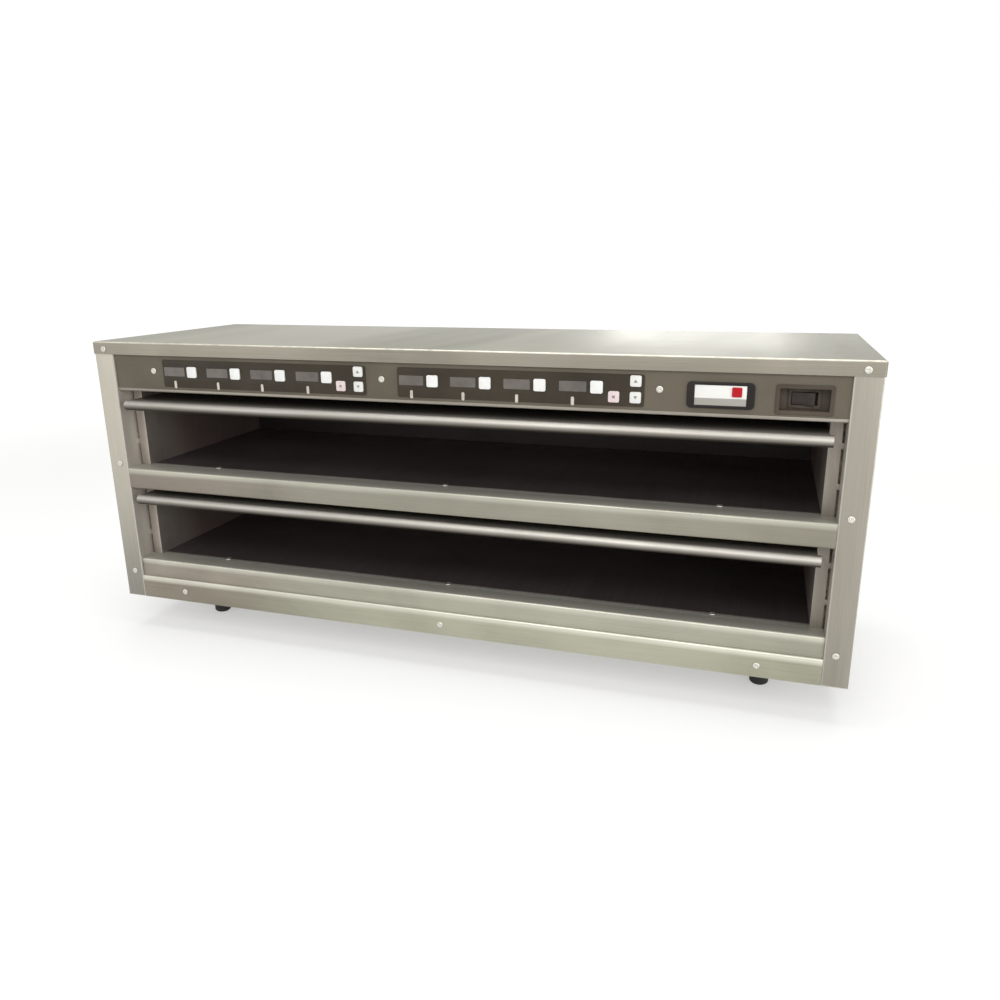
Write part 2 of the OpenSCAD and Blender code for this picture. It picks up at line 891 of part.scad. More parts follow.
// Gland through the back panel with its lock nut inside
module cable_gland() {
    color([0.1, 0.1, 0.1])
        place()
            difference() {
                union() {
                    rod_y(gland_x, cabinet_d, z_gland, gland_cap_d / 2, gland_proud);
                    rod_y(gland_x, back_y - gland_nut_t - gland_tail, z_gland, gland_thread / 2,
                          gland_tail + gland_nut_t + sheet_t + gland_hex_t / 2);
                    for (y = [back_y - gland_nut_t, cabinet_d])
                        translate([gland_x, y, z_gland])
                            rotate([-90, 0, 0])
                                cylinder(h = y < cabinet_d ? gland_nut_t : gland_hex_t, r = gland_hex_d / 2,
                                         $fn = 6);
                }
                rod_y(gland_x, back_y - gland_nut_t - gland_tail - eps, z_gland, gland_bore / 2,
                      gland_tail + gland_nut_t + sheet_t + gland_proud + 2 * eps);
            }
}

// Wiring runs on the tray: mains to the power board, and from there to boards and switch
module wiring() {
    z_run = z_tray_top + wire_d / 2 + wire_bulge;
    z_board = z_keypad + keypad_h / 2;
    front_run = tray_front + 2 * wire_d;
    board_back = board_y + board_t;
    under = 2 * wire_d;
    bundle_pitch = 4 * wire_d;
    power_mid = power_y + power_d / 2;
    tap_x = keypad_w * 0.6;
    left_x = keypad_left[0] + tap_x;
    right_x = keypad_left[1] + tap_x;
    left_turn = power_y - bundle_pitch;
    left_end = power_x + power_w * 0.2;
    switch_turn = power_y - 2 * bundle_pitch;
    switch_end = power_x + power_w * 0.88;
    color([0.15, 0.15, 0.16])
        place() {
            cable([[gland_x, terminal_y, z_run], [gland_x, power_mid, z_run],
                   [power_x + power_w - under, power_mid, z_run]]);
            cable([[left_x, board_back, z_board], [left_x, front_run, z_board],
                   [left_x, front_run, z_run], [left_x, left_turn, z_run],
                   [left_end, left_turn, z_run], [left_end, power_y + under, z_run]]);
            cable([[right_x, board_back, z_board], [right_x, front_run, z_board],
                   [right_x, front_run, z_run], [right_x, power_y + under, z_run]]);
            cable([[pocket_x, pocket_floor_y + switch_len, z_pocket], [pocket_x, front_run, z_pocket],
                   [pocket_x, front_run, z_run], [pocket_x, switch_turn, z_run],
                   [switch_end, switch_turn, z_run], [switch_end, power_y + under, z_run]]);
        }
}

// Square openings of one keypad for buttons and keys, from the keypad's lower left corner
module button_holes() {
    for (x = timer_x)
        translate([x, timer_up])
            round_rect(button_w + 2 * button_gap, button_w + 2 * button_gap, button_r + button_gap);
    for (k = key_spots)
        translate(k)
            round_rect(key_w + 2 * button_gap, key_w + 2 * button_gap, button_r + button_gap);
}

// Outlines of the display windows and of the lamps of one keypad
module display_outline() {
    for (x = timer_x)
        translate([x - display_left, timer_up])
            square([display_w, display_h], center = true);
}

module lamp_outline() {
    for (x = timer_x)
        translate([x - display_left - lamp_w / 2, -lamp_drop])
            square([lamp_w, lamp_h]);
}

module keypad(side) {
    color([0.2, 0.18, 0.16])
        place()
            facing(panel_in - keypad_t, keypad_t)
                translate([keypad_left[side], z_keypad])
                    difference() {
                        translate([keypad_w / 2, keypad_h / 2])
                            round_rect(keypad_w, keypad_h, keypad_r);
                        button_holes();
                        display_outline();
                        lamp_outline();
                    }
}

module left_keypad() {
    keypad(0);
}

module right_keypad() {
    keypad(1);
}

module display_windows() {
    color([0.34, 0.32, 0.3])
        place()
            for (x = keypad_left)
                facing(panel_in - keypad_t, keypad_t)
                    translate([x, z_keypad])
                        display_outline();
}

module timer_lamps() {
    lamp_proud = 0.2;
    color([0.72, 0.7, 0.64])
        place()
            for (x = keypad_left)
                facing(panel_in - keypad_t - lamp_proud, keypad_t + lamp_proud)
                    translate([x, z_keypad])
                        lamp_outline();
}

// Boards behind the keypads with displays, contacts and standoffs
module timer_boards() {
    led_y = panel_back + led_gap;
    color([0.13, 0.35, 0.22])
        place()
            for (x = keypad_left)
                translate([x, 0, z_keypad]) {
                    block([board_inset, board_y, board_inset],
                          [board_inset + board_w, board_y + board_t, board_inset + board_h]);
                    for (t = timer_x, z = [standoff_up, keypad_h - standoff_up])
                        rod_y(t + standoff_shift, panel_back, z, standoff_d / 2,
                              board_y - panel_back + board_t / 2);
                    for (t = timer_x) {
                        block([t - contact_w / 2, contact_top, timer_up - contact_w / 2],
                              [t + contact_w / 2, board_y + board_t / 2, timer_up + contact_w / 2]);
                        block([t - display_left - display_w / 2 + led_inset, led_y,
                               timer_up - display_h / 2 + led_inset],
                              [t - display_left + display_w / 2 - led_inset, board_y + board_t / 2,
                               timer_up + display_h / 2 - led_inset]);
                    }
                    for (k = key_spots)
                        block([k.x - contact_w / 2, contact_top, k.y - contact_w / 2],
                              [k.x + contact_w / 2, board_y + board_t / 2, k.y + contact_w / 2]);
                }
}

// Push cap with a collar behind the panel and a stem towards its contact
module push_cap(side, spot, w) {
    collar_w = w + 2 * (button_gap + collar_rim);
    place()
        translate([keypad_left[side] + spot.x, 0, z_keypad + spot.y]) {
            facing(panel_in - keypad_t - button_proud, keypad_t + button_proud + sheet_t + button_gap)
                round_rect(w, w, button_r);
            facing(collar_y, collar_t)
                round_rect(collar_w, collar_w, button_r);
            rod_y(0, collar_y, 0, stem_d / 2, collar_t + stem_len);
        }
}

// Timer buttons count from the left end of the control panel
module timer_button(number) {
    side = number > timer_count ? 1 : 0;
    index = number - 1 - timer_count * side;
    color([0.93, 0.93, 0.9])
        push_cap(side, [timer_x[index], timer_up], button_w);
}

module timer_button_1() {
    timer_button(1);
}

module timer_button_2() {
    timer_button(2);
}

module timer_button_3() {
    timer_button(3);
}

module timer_button_4() {
    timer_button(4);
}

module timer_button_5() {
    timer_button(5);
}

module timer_button_6() {
    timer_button(6);
}

module timer_button_7() {
    timer_button(7);
}

module timer_button_8() {
    timer_button(8);
}

// Keys: lower left, lower right and upper right of each keypad's group
module keypad_key(side, index) {
    color([0.9, 0.88, 0.86])
        push_cap(side, key_spots[index], key_w);
}

module left_key_1() {
    keypad_key(0, 0);
}

module left_key_2() {
    keypad_key(0, 1);
}

module left_key_3() {
    keypad_key(0, 2);
}

module right_key_1() {
    keypad_key(1, 0);
}

module right_key_2() {
    keypad_key(1, 1);
}

module right_key_3() {
    keypad_key(1, 2);
}

// Rounded bezel with a shallow pocket for the badge plate
module badge_bezel() {
    color([0.16, 0.15, 0.14])
        place()
            difference() {
                facing(panel_in - badge_t, badge_t)
                    translate([badge_x, z_badge])
                        round_rect(badge_w, badge_h, badge_r);
                facing(panel_in - badge_t - eps, badge_t - badge_floor + eps)
                    translate([badge_x, z_badge])
                        square([plate_w, plate_h], center = true);
                rod_y(lens_x, panel_in - badge_t, z_lens, lens_tube_d / 2 + lens_tube_gap, badge_t + eps);
            }
}

module badge_plate() {
    color([0.93, 0.93, 0.9])
        place()
            difference() {
                facing(panel_in - badge_floor - badge_plate_t, badge_plate_t)
                    translate([badge_x, z_badge])
                        square([plate_w, plate_h], center = true);
                rod_y(lens_x, 0, z_lens, lens_tube_d / 2 + lens_tube_gap, panel_in);
            }
}

// Square red lens with a lamp tube through the panel
module pilot_lens() {
    lens_seat = panel_in - badge_floor - badge_plate_t;
    color([0.75, 0.08, 0.07])
        place() {
            facing(lens_seat - lens_t, lens_t)
                translate([lens_x, z_lens])
                    round_rect(lens_w, lens_w, lens_r);
            rod_y(lens_x, lens_seat - lens_t / 2, z_lens, lens_tube_d / 2, lens_tube_len);
        }
}

// Pocket with a rim on the panel face and an opening for the switch in its floor
module switch_pocket() {
    rim_y = panel_in - pocket_rim_t;
    inner_w = pocket_w - 2 * pocket_wall;
    inner_h = pocket_h - 2 * pocket_wall;
    color([0.09, 0.09, 0.09])
        place()
            difference() {
                union() {
                    facing(rim_y, pocket_rim_t)
                        translate([pocket_x, z_pocket])
                            round_rect(pocket_w + 2 * pocket_rim, pocket_h + 2 * pocket_rim, pocket_rim);
                    facing(rim_y, pocket_floor_y + pocket_floor_t - rim_y)
                        translate([pocket_x, z_pocket])
                            square([pocket_w, pocket_h], center = true);
                }
                facing(rim_y - eps, pocket_floor_y - rim_y + eps)
                    translate([pocket_x, z_pocket])
                        square([inner_w, inner_h], center = true);
                facing(pocket_floor_y - eps, pocket_floor_t + 2 * eps)
                    translate([pocket_x, z_pocket])
                        square([switch_w + 2 * pocket_fit, switch_h + 2 * pocket_fit], center = true);
            }
}

// Switch housing with the well for the rocker, pivot holes and terminal blades
module switch_body() {
    body_end = pocket_floor_y + switch_len;
    color([0.07, 0.07, 0.07])
        place() {
            difference() {
                union() {
                    facing(switch_front_y, switch_flange_t)
                        translate([pocket_x, z_pocket])
                            square([switch_w + 2 * switch_flange, switch_h + 2 * switch_flange],
                                   center = true);
                    facing(switch_front_y, body_end - switch_front_y)
                        translate([pocket_x, z_pocket])
                            square([switch_w, switch_h], center = true);
                }
                facing(switch_front_y - eps, well_d + eps)
                    translate([pocket_x, z_pocket])
                        square([well_w, well_h], center = true);
                translate([pocket_x, pivot_y, z_pocket - switch_h])
                    cylinder(h = 2 * switch_h, r = pivot_d / 2 + pivot_gap);
            }
            for (sx = [-1, 1])
                translate([pocket_x + sx * blade_x - blade_w / 2, body_end - eps, z_pocket - blade_t / 2])
                    cube([blade_w, blade_len + eps, blade_t]);
        }
}

// Rocker that tips about an upright pin: at rest its left half is pressed in
module switch_rocker() {
    half = rocker_w / 2;
    color([0.12, 0.12, 0.12])
        place()
            translate([pocket_x, pivot_y, z_pocket])
                rotate([0, 0, -rocker_tilt]) {
                    translate([0, 0, -rocker_h / 2])
                        linear_extrude(rocker_h)
                            polygon([
                                [-half, -rocker_valley - rocker_rise],
                                [0, -rocker_valley],
                                [half, -rocker_valley - rocker_rise],
                                [half * 0.95, -rocker_waist],
                                [half * 0.43, rocker_heel],
                                [-half * 0.43, rocker_heel],
                                [-half * 0.95, -rocker_waist]
                            ]);
                    translate([0, 0, -switch_h / 2])
                        cylinder(h = switch_h, r = pivot_d / 2);
                }
}

// Pan cover: a flat sheet whose front edge is rolled into a bar
module pan_cover(cover_top) {
    cover_half = cavity_half - cover_side_gap;
    roll_y = roll_d / 2 - roll_proud;
    roll_z = cover_top - roll_d / 2;
    color([0.88, 0.87, 0.82])
        place()
            difference() {
                union() {
                    across(2 * (cover_half + roll_over))
                        translate([roll_y, roll_z])
                            circle(roll_d / 2);
                    across(2 * cover_half)
                        translate([roll_y, cover_top - cover_t])
                            square([rear_y - cover_gap - roll_y, cover_t]);
                }
                across(2 * (cover_half + roll_over + eps))
                    translate([roll_y, roll_z])
                        circle(roll_d / 2 - cover_t);
            }
}

module lower_pan_cover() {
    pan_cover(z_lower_cover);
}

module upper_pan_cover() {
    pan_cover(z_upper_cover);
}

// Four feet with a collar under the base and a stud through it
module feet() {
    chamfer = 3;
    color([0.06, 0.06, 0.06])
        place()
            for (sx = [-1, 1], y = [foot_in_y, cabinet_d - foot_in_y])
                translate([sx * (half_w - foot_in_x), y, -foot_h]) {
                    cylinder(h = chamfer, r1 = foot_d / 2 - chamfer, r2 = foot_d / 2);
                    translate([0, 0, chamfer])
                        cylinder(h = foot_h - chamfer, r = foot_d / 2);
                    translate([0, 0, foot_h - foot_collar_h])
                        cylinder(h = foot_collar_h, r = foot_collar_d / 2);
                    cylinder(h = foot_h + sheet_t, r = foot_stud_d / 2);
                }
}

// Screws of the top panel, columns, control panel, base cover and back panel
module case_screws() {
    short = 2 * sheet_t;
    back_head = screw_head * 0.85;
    color([0.8, 0.79, 0.75])
        place() {
            for (sx = [-1, 1]) {
                for (z = column_screw_z)
                    screw_y(sx * (half_w - column_screw_in), 0, z, screw_head, column_screw_len);
                screw_y(sx * (half_w - column_screw_in), -top_t, lid_screw_z, screw_head, column_screw_len);
                for (z = back_screw_z)
                    translate([sx * (half_w - rear_flange_w / 2), cabinet_d, z])
                        rotate([0, 0, 180])
                            screw_y(0, 0, 0, back_head, short);
            }
            for (x = panel_screw_x)
                screw_y(x, panel_in, z_timer, screw_head, sheet_t + clinch_len);
            for (s = [-1, 0, 1])
                screw_y(s * base_screw_x, 0, base_screw_z, screw_head, short);
        }
}

// Screws along the front edge of both shelf plates
module shelf_screws() {
    color([0.75, 0.74, 0.7])
        place()
            for (s = [-1, 0, 1], z = [z_lower_shelf, z_upper_shelf])
                translate([s * shelf_screw_x, jamb_in + shelf_screw_in, z]) {
                    screw_head(screw_head);
                    translate([0, 0, -shelf_t - sheet_t])
                        cylinder(h = shelf_t + sheet_t, r = screw_d / 2);
                }
}

side_panel_left();
side_panel_right();
top_panel();
base_pan();
back_panel();
base_front_cover();
lower_rail();
middle_rail();
control_panel();
panel_lip();
lower_shelf_plate();
upper_shelf_plate();
lower_heat_plate();
upper_heat_plate();
lower_liner_left();
lower_liner_right();
upper_liner_left();
upper_liner_right();
lower_rear_liner();
upper_rear_liner();
shelf_heaters();
top_heaters();
temperature_probes();
wall_insulation();
insulation_slabs();
component_tray();
power_board();
terminal_block();
cable_gland();
wiring();
left_keypad();
right_keypad();
display_windows();
timer_lamps();
timer_boards();
timer_button_1();
timer_button_2();
timer_button_3();
timer_button_4();
timer_button_5();
timer_button_6();
timer_button_7();
timer_button_8();
left_key_1();
left_key_2();
left_key_3();
right_key_1();
right_key_2();
right_key_3();
badge_bezel();
badge_plate();
pilot_lens();
switch_pocket();
switch_body();
switch_rocker();
lower_pan_cover();
upper_pan_cover();
feet();
case_screws();
shelf_screws();
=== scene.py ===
import json
import math

import bmesh
import bpy
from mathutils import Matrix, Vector

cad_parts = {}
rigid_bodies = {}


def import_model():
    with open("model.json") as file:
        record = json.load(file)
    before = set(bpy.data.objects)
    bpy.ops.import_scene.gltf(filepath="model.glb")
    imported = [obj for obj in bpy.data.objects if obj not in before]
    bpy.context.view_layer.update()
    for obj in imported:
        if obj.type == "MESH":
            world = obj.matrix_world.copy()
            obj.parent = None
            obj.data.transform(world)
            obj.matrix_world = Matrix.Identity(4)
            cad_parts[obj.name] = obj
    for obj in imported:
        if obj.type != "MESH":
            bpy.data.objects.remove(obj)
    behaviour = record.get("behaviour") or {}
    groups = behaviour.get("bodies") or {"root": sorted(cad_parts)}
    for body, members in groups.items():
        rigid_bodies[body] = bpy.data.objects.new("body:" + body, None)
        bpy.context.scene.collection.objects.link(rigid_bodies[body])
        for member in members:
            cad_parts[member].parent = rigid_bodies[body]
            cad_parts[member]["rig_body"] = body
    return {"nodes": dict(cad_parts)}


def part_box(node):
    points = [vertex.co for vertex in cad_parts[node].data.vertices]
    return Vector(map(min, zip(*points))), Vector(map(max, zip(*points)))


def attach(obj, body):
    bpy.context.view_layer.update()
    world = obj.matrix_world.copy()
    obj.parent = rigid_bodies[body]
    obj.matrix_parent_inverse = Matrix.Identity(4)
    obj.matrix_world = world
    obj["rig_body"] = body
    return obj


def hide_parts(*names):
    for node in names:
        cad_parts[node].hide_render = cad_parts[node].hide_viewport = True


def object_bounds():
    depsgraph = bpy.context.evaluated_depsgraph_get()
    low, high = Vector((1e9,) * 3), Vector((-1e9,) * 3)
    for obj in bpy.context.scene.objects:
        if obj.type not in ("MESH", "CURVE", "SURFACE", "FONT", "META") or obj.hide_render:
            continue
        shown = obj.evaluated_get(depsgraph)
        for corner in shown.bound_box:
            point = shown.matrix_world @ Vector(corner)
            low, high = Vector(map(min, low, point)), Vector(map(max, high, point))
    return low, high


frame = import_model()
cad_low, cad_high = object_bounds()


# Studio: a plain pale floor, an even white surround and five soft lamps.
# The camera stands right of the cabinet's middle, a little above its lid, and looks down on it.
CAMERA_AT = (0.45077, -1.28521, 0.61912)
CAMERA_TURN = (73.82, 0.54, 17.69)
CAMERA_LENS = 29.682
CAMERA_SENSOR = 36
CAMERA_REACH = 100
WHITE = (1, 1, 1, 1)
AMBIENT = 0.5
FLOOR_COLOUR = (0.62, 0.62, 0.61, 1)
GLOW_NEAR = (1.2, 0.4)
GLOW_FAR = (4.0, 0.74)
FLOOR_SIZE = 30
LAMP_AIM = Vector((0, 0, 0.25))
LAMPS = {
    "key_lamp": {"at": (0.3, -2.4, 2.0), "size": (2.0, 1.5), "watts": 30},
    "right_lamp": {"at": (2.4, -1.7, 0.9), "size": (1.4, 1.4), "watts": 22},
    "left_lamp": {"at": (-2.3, -2.2, 0.9), "size": (1.4, 1.4), "watts": 8},
    "rear_lamp": {"at": (0.12, 2.7, 0.95), "size": (0.8, 0.8), "watts": 9},
    "top_lamp": {"at": (0.0, 0.0, 2.5), "size": (2.6, 1.6), "watts": 30},
}


def feed(value, entry):
    """Gives a socket its value, or a link if the value is the output of another node."""
    if isinstance(value, bpy.types.NodeSocket):
        entry.id_data.links.new(value, entry)
    else:
        entry.default_value = value


def add_node(tree, kind, inputs=None, **settings):
    """A new node with its settings, and what feeds its sockets by name or place."""
    made = tree.nodes.new(kind)
    for key, value in settings.items():
        setattr(made, key, value)
    for socket, value in (inputs or {}).items():
        feed(value, made.inputs[socket])
    return made


def math_of(operation, *values):
    """The result of one step of arithmetic on outputs of nodes and plain numbers."""
    tree = next(value.id_data for value in values if isinstance(value, bpy.types.NodeSocket))
    return add_node(tree, "ShaderNodeMath", dict(enumerate(values)), operation=operation).outputs[0]


def span(value, start, end, low=0, high=1, **settings):
    """A value that runs from low to high while another runs from start to end."""
    ramp = {"Value": value, "From Min": start, "From Max": end, "To Min": low, "To Max": high}
    return add_node(value.id_data, "ShaderNodeMapRange", ramp, **settings).outputs["Result"]


def spot_in(tree):
    """The place of a spot on its piece, in metres."""
    return add_node(tree, "ShaderNodeTexCoord").outputs["Object"]


def shown_rays(tree):
    """1 for rays from the camera and for what metal and glass reflect or let through."""
    path = add_node(tree, "ShaderNodeLightPath").outputs
    mirrored = math_of("MAXIMUM", path["Is Glossy Ray"], path["Is Transmission Ray"])
    return math_of("MAXIMUM", path["Is Camera Ray"], mirrored)


scene = bpy.context.scene
scene.view_settings.view_transform = "Standard"

camera = bpy.data.objects.new("camera", bpy.data.cameras.new("camera"))
camera.location = CAMERA_AT
camera.rotation_euler = [math.radians(angle) for angle in CAMERA_TURN]
camera.data.lens = CAMERA_LENS
camera.data.sensor_width = CAMERA_SENSOR
camera.data.clip_end = CAMERA_REACH
scene.collection.objects.link(camera)
scene.camera = camera

world = bpy.data.worlds.new("white_surround")
world.use_nodes = True
scene.world = world
sky = world.node_tree
sky.nodes.clear()
sky_light = add_node(sky, "ShaderNodeBackground", {"Color": WHITE, "Strength": AMBIENT})
sky_white = add_node(sky, "ShaderNodeBackground", {"Color": WHITE, "Strength": 1})
sky_mix = add_node(
    sky, "ShaderNodeMixShader", {0: shown_rays(sky), 1: sky_light.outputs[0], 2: sky_white.outputs[0]})
add_node(sky, "ShaderNodeOutputWorld", {"Surface": sky_mix.outputs[0]})

floor_paint = bpy.data.materials.new("floor_paint")
floor_paint.use_nodes = True
ground = floor_paint.node_tree
ground.nodes.clear()
ground_reach = add_node(ground, "ShaderNodeVectorMath", {0: spot_in(ground)}, operation="LENGTH")
ground_rise = span(
    ground_reach.outputs["Value"], GLOW_NEAR[0], GLOW_FAR[0], GLOW_NEAR[1], GLOW_FAR[1],
    interpolation_type="SMOOTHSTEP")
glow_level = math_of("MULTIPLY", shown_rays(ground), ground_rise)
ground_glow = add_node(ground, "ShaderNodeEmission", {"Color": WHITE, "Strength": glow_level})
ground_matt = add_node(ground, "ShaderNodeBsdfDiffuse", {"Color": FLOOR_COLOUR})
ground_sum = add_node(
    ground, "ShaderNodeAddShader", {0: ground_matt.outputs[0], 1: ground_glow.outputs[0]})
add_node(ground, "ShaderNodeOutputMaterial", {"Surface": ground_sum.outputs[0]})
floor_mesh = bpy.data.meshes.new("floor")
floor_half = FLOOR_SIZE / 2
floor_mesh.from_pydata(
    [(x * floor_half, y * floor_half, cad_low.z) for x, y in ((-1, -1), (1, -1), (1, 1), (-1, 1))],
    [], [(0, 1, 2, 3)])
floor_mesh.materials.append(floor_paint)
floor = bpy.data.objects.new("floor", floor_mesh)
scene.collection.objects.link(floor)

for lamp_name, lamp in LAMPS.items():
    light = bpy.data.lights.new(lamp_name, "AREA")
    light.shape = "RECTANGLE"
    light.size, light.size_y = lamp["size"]
    light.energy = lamp["watts"]
    holder = bpy.data.objects.new(lamp_name, light)
    holder.location = lamp["at"]
    holder.rotation_euler = (LAMP_AIM - holder.location).to_track_quat("-Z", "Y").to_euler()
    scene.collection.objects.link(holder)


# Feet: four black rubber feet, each moulded round a stud that screws up into the base pan.
# The rubber is matt, with a fine moulded grain and greyer patches where it is scuffed.
FOOT_EASE = 0.0008
FOOT_BLACK = (0.012, 0.012, 0.012, 1)
FOOT_GREY = (0.035, 0.034, 0.033, 1)
FOOT_GLOSS = (0.62, 0.8)
SKIN_BUMP = 0.25
SHARP_EDGE = math.radians(28)
SAME_POINT = 2e-6
FLAT_ANGLE = math.radians(0.4)
OFF_AXIS = (0.02, 0.98)
WALL_FACET = 0.0036


def stand_for(piece, node, material):
    """The piece gets its material and takes the place of a CAD node, on the same body."""
    piece.data.materials.clear()
    piece.data.materials.append(material)
    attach(piece, frame["nodes"][node]["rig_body"])
    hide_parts(node)


def eased(node, name, material, ease, share=None, segments=3, pierced=False):
    """A merged copy stands for a CAD node, with its sharp edges rounded off by the width ease.
    share gives the part of that width that an edge takes, from its middle and its direction.
    pierced closes the round screw holes, which lie under the heads of their screws: the facets
    of their walls are narrow, and the first of them to be found lean off the axes."""
    shape = bmesh.new()
    shape.from_mesh(frame["nodes"][node].data)
    bmesh.ops.remove_doubles(shape, verts=shape.verts, dist=SAME_POINT)
    if pierced:
        walls = {f for f in shape.faces if OFF_AXIS[0] < abs(f.normal.x) < OFF_AXIS[1]}
        front = list(walls)
        while front:
            around = {f for edge in front.pop().edges for f in edge.link_faces} - walls
            found = [f for f in around if max(edge.calc_length() for edge in f.edges) < WALL_FACET]
            walls.update(found)
            front.extend(found)
        bmesh.ops.delete(shape, geom=list(walls), context="FACES")
        rims = [e for e in shape.edges if len(e.link_faces) == 1]
        bmesh.ops.holes_fill(shape, edges=rims, sides=0)
    bmesh.ops.dissolve_limit(shape, angle_limit=FLAT_ANGLE, verts=shape.verts, edges=shape.edges)
    weight = shape.edges.layers.float.new("bevel_weight_edge")
    for edge in shape.edges:
        if len(edge.link_faces) == 2 and edge.calc_face_angle() > SHARP_EDGE:
            low, high = (vert.co for vert in edge.verts)
            edge[weight] = share((low + high) / 2, (high - low).normalized()) if share else 1
            edge.smooth = edge[weight] > 0
    for face in shape.faces:
        face.smooth = True
    mesh = bpy.data.meshes.new(name)
    shape.to_mesh(mesh)
    shape.free()
    piece = bpy.data.objects.new(name, mesh)
    scene.collection.objects.link(piece)
    rounding = piece.modifiers.new("rounded_edges", "BEVEL")
    rounding.width = ease
    rounding.segments = segments
    rounding.limit_method = "WEIGHT"
    rounding.use_clamp_overlap = False
    rounding.harden_normals = True
    stand_for(piece, node, material)


def new_group(name, inputs, outputs):
    """An empty shader node group with its sockets: (tree, input node, output node)."""
    tree = bpy.data.node_groups.new(name, "ShaderNodeTree")
    for socket, (kind, value) in inputs.items():
        made = tree.interface.new_socket(socket, in_out="INPUT", socket_type=kind)
        made.default_value = value
    for socket in outputs:
        tree.interface.new_socket(socket, in_out="OUTPUT", socket_type="NodeSocketFloat")
    return tree, add_node(tree, "NodeGroupInput"), add_node(tree, "NodeGroupOutput")


def place_group(tree, group, inputs):
    """A node group set into a material with its own values: its outputs."""
    return add_node(tree, "ShaderNodeGroup", inputs, node_tree=group).outputs


def new_material(name, **constants):
    """A material with a Principled BSDF: (material, its tree, the shader)."""
    material = bpy.data.materials.new(name)
    material.use_nodes = True
    tree = material.node_tree
    shader = next(n for n in tree.nodes if n.type == "BSDF_PRINCIPLED")
    for socket, value in constants.items():
        shader.inputs[socket.replace("_", " ")].default_value = value
    return material, tree, shader


def blend_colours(mask, dark, bright):
    """A colour that runs from dark to bright with a mask."""
    mix = add_node(mask.id_data, "ShaderNodeMix", {"Factor": mask}, data_type="RGBA")
    for socket, colour in (("A", dark), ("B", bright)):
        feed(colour, next(s for s in mix.inputs if s.name == socket and s.type == "RGBA"))
    return next(s for s in mix.outputs if s.type == "RGBA")


def roughen(shader, height, depth, strength):
    """A bump of the given depth in metres on a shader."""
    bump = {"Strength": strength, "Distance": depth, "Height": height}
    feed(add_node(shader.id_data, "ShaderNodeBump", bump).outputs["Normal"], shader.inputs["Normal"])


# moulded_grain: the fine pebbled skin of rubber and plastic, and broader patches of handling
moulded_grain, grain_in, grain_out = new_group(
    "moulded_grain",
    {"Pebble": ("NodeSocketFloat", 900.0), "Patch": ("NodeSocketFloat", 12.0)},
    ["Grain", "Handling"])
grain_spot = spot_in(moulded_grain)
for socket, output, detail in (("Pebble", "Grain", 2), ("Patch", "Handling", 5)):
    cloud = add_node(
        moulded_grain, "ShaderNodeTexNoise",
        {"Vector": grain_spot, "Scale": grain_in.outputs[socket], "Detail": detail, "Roughness": 0.6})
    feed(span(cloud.outputs["Fac"], 0.3, 0.7), grain_out.inputs[output])


def moulded(name, dark, bright, rough, pebble=900, patch=12, depth=0.00006, **constants):
    """A moulded rubber or plastic with a pebbled skin and uneven gloss."""
    material, tree, shader = new_material(name, **constants)
    grain = place_group(tree, moulded_grain, {"Pebble": pebble, "Patch": patch})
    feed(blend_colours(grain["Handling"], dark, bright), shader.inputs["Base Color"])
    feed(span(grain["Handling"], 0, 1, *rough), shader.inputs["Roughness"])
    roughen(shader, grain["Grain"], depth, SKIN_BUMP)
    return material


foot_rubber = moulded("foot_rubber", FOOT_BLACK, FOOT_GREY, FOOT_GLOSS, pebble=700, patch=40)
eased("feet", "rubber_feet", foot_rubber, FOOT_EASE)


# Base pan: the stainless floor of the case, folded up behind the base front cover.
# It is cut and folded from brushed sheet, so its grain runs along the cabinet.
SHEET_EASE = 0.00035
LONG_GRAIN = (5, 1300, 1300)
BASE_DARK = (0.27, 0.25, 0.21, 1)
BASE_BRIGHT = (0.4, 0.38, 0.33, 1)
# Each WORN colour brightens a finish's bends and edges, with wear and a painted highlight.
BASE_WORN_SHEEN = (0.55, 0.53, 0.47, 1)
GRAIN_SHARE = 0.45
GRAIN_DEPTH = 0.00002
GRAIN_BUMP = 0.3
TINT_SHARES = (0.8, 1.2)
EDGE_TURN = 0.12
BEND_BREAK_SCALE = 60

# brushed_grain: fine scratches of the brushing, stretched along one axis
brushed_grain, brush_in, brush_out = new_group(
    "brushed_grain", {"Stretch": ("NodeSocketVector", LONG_GRAIN)}, ["Grain"])
brush_stretch = add_node(
    brushed_grain, "ShaderNodeVectorMath",
    {0: spot_in(brushed_grain), 1: brush_in.outputs["Stretch"]}, operation="MULTIPLY")
brush_noise = add_node(
    brushed_grain, "ShaderNodeTexNoise",
    {"Vector": brush_stretch.outputs[0], "Scale": 1, "Detail": 4, "Roughness": 0.65})
feed(span(brush_noise.outputs["Fac"], 0.3, 0.7), brush_out.inputs["Grain"])

# smudges: uneven, wiped patches of hand marks and cleaning
smudges, smudge_in, smudge_out = new_group(
    "smudges",
    {"Size": ("NodeSocketVector", (6.0, 6.0, 6.0)), "Shift": ("NodeSocketVector", (0.0, 0.0, 0.0))},
    ["Mask"])
smudge_stretch = add_node(
    smudges, "ShaderNodeVectorMath",
    {0: spot_in(smudges), 1: smudge_in.outputs["Size"], 2: smudge_in.outputs["Shift"]},
    operation="MULTIPLY_ADD")
smudge_noise = add_node(
    smudges, "ShaderNodeTexNoise",
    {"Vector": smudge_stretch.outputs[0], "Scale": 1, "Detail": 4, "Roughness": 0.55,
     "Distortion": 0.5})
feed(span(smudge_noise.outputs["Fac"], 0.34, 0.66), smudge_out.inputs["Mask"])


def axes_of(vector):
    """The three parts of a vector, by the letters of their axes."""
    return add_node(vector.id_data, "ShaderNodeSeparateXYZ", {0: vector}).outputs
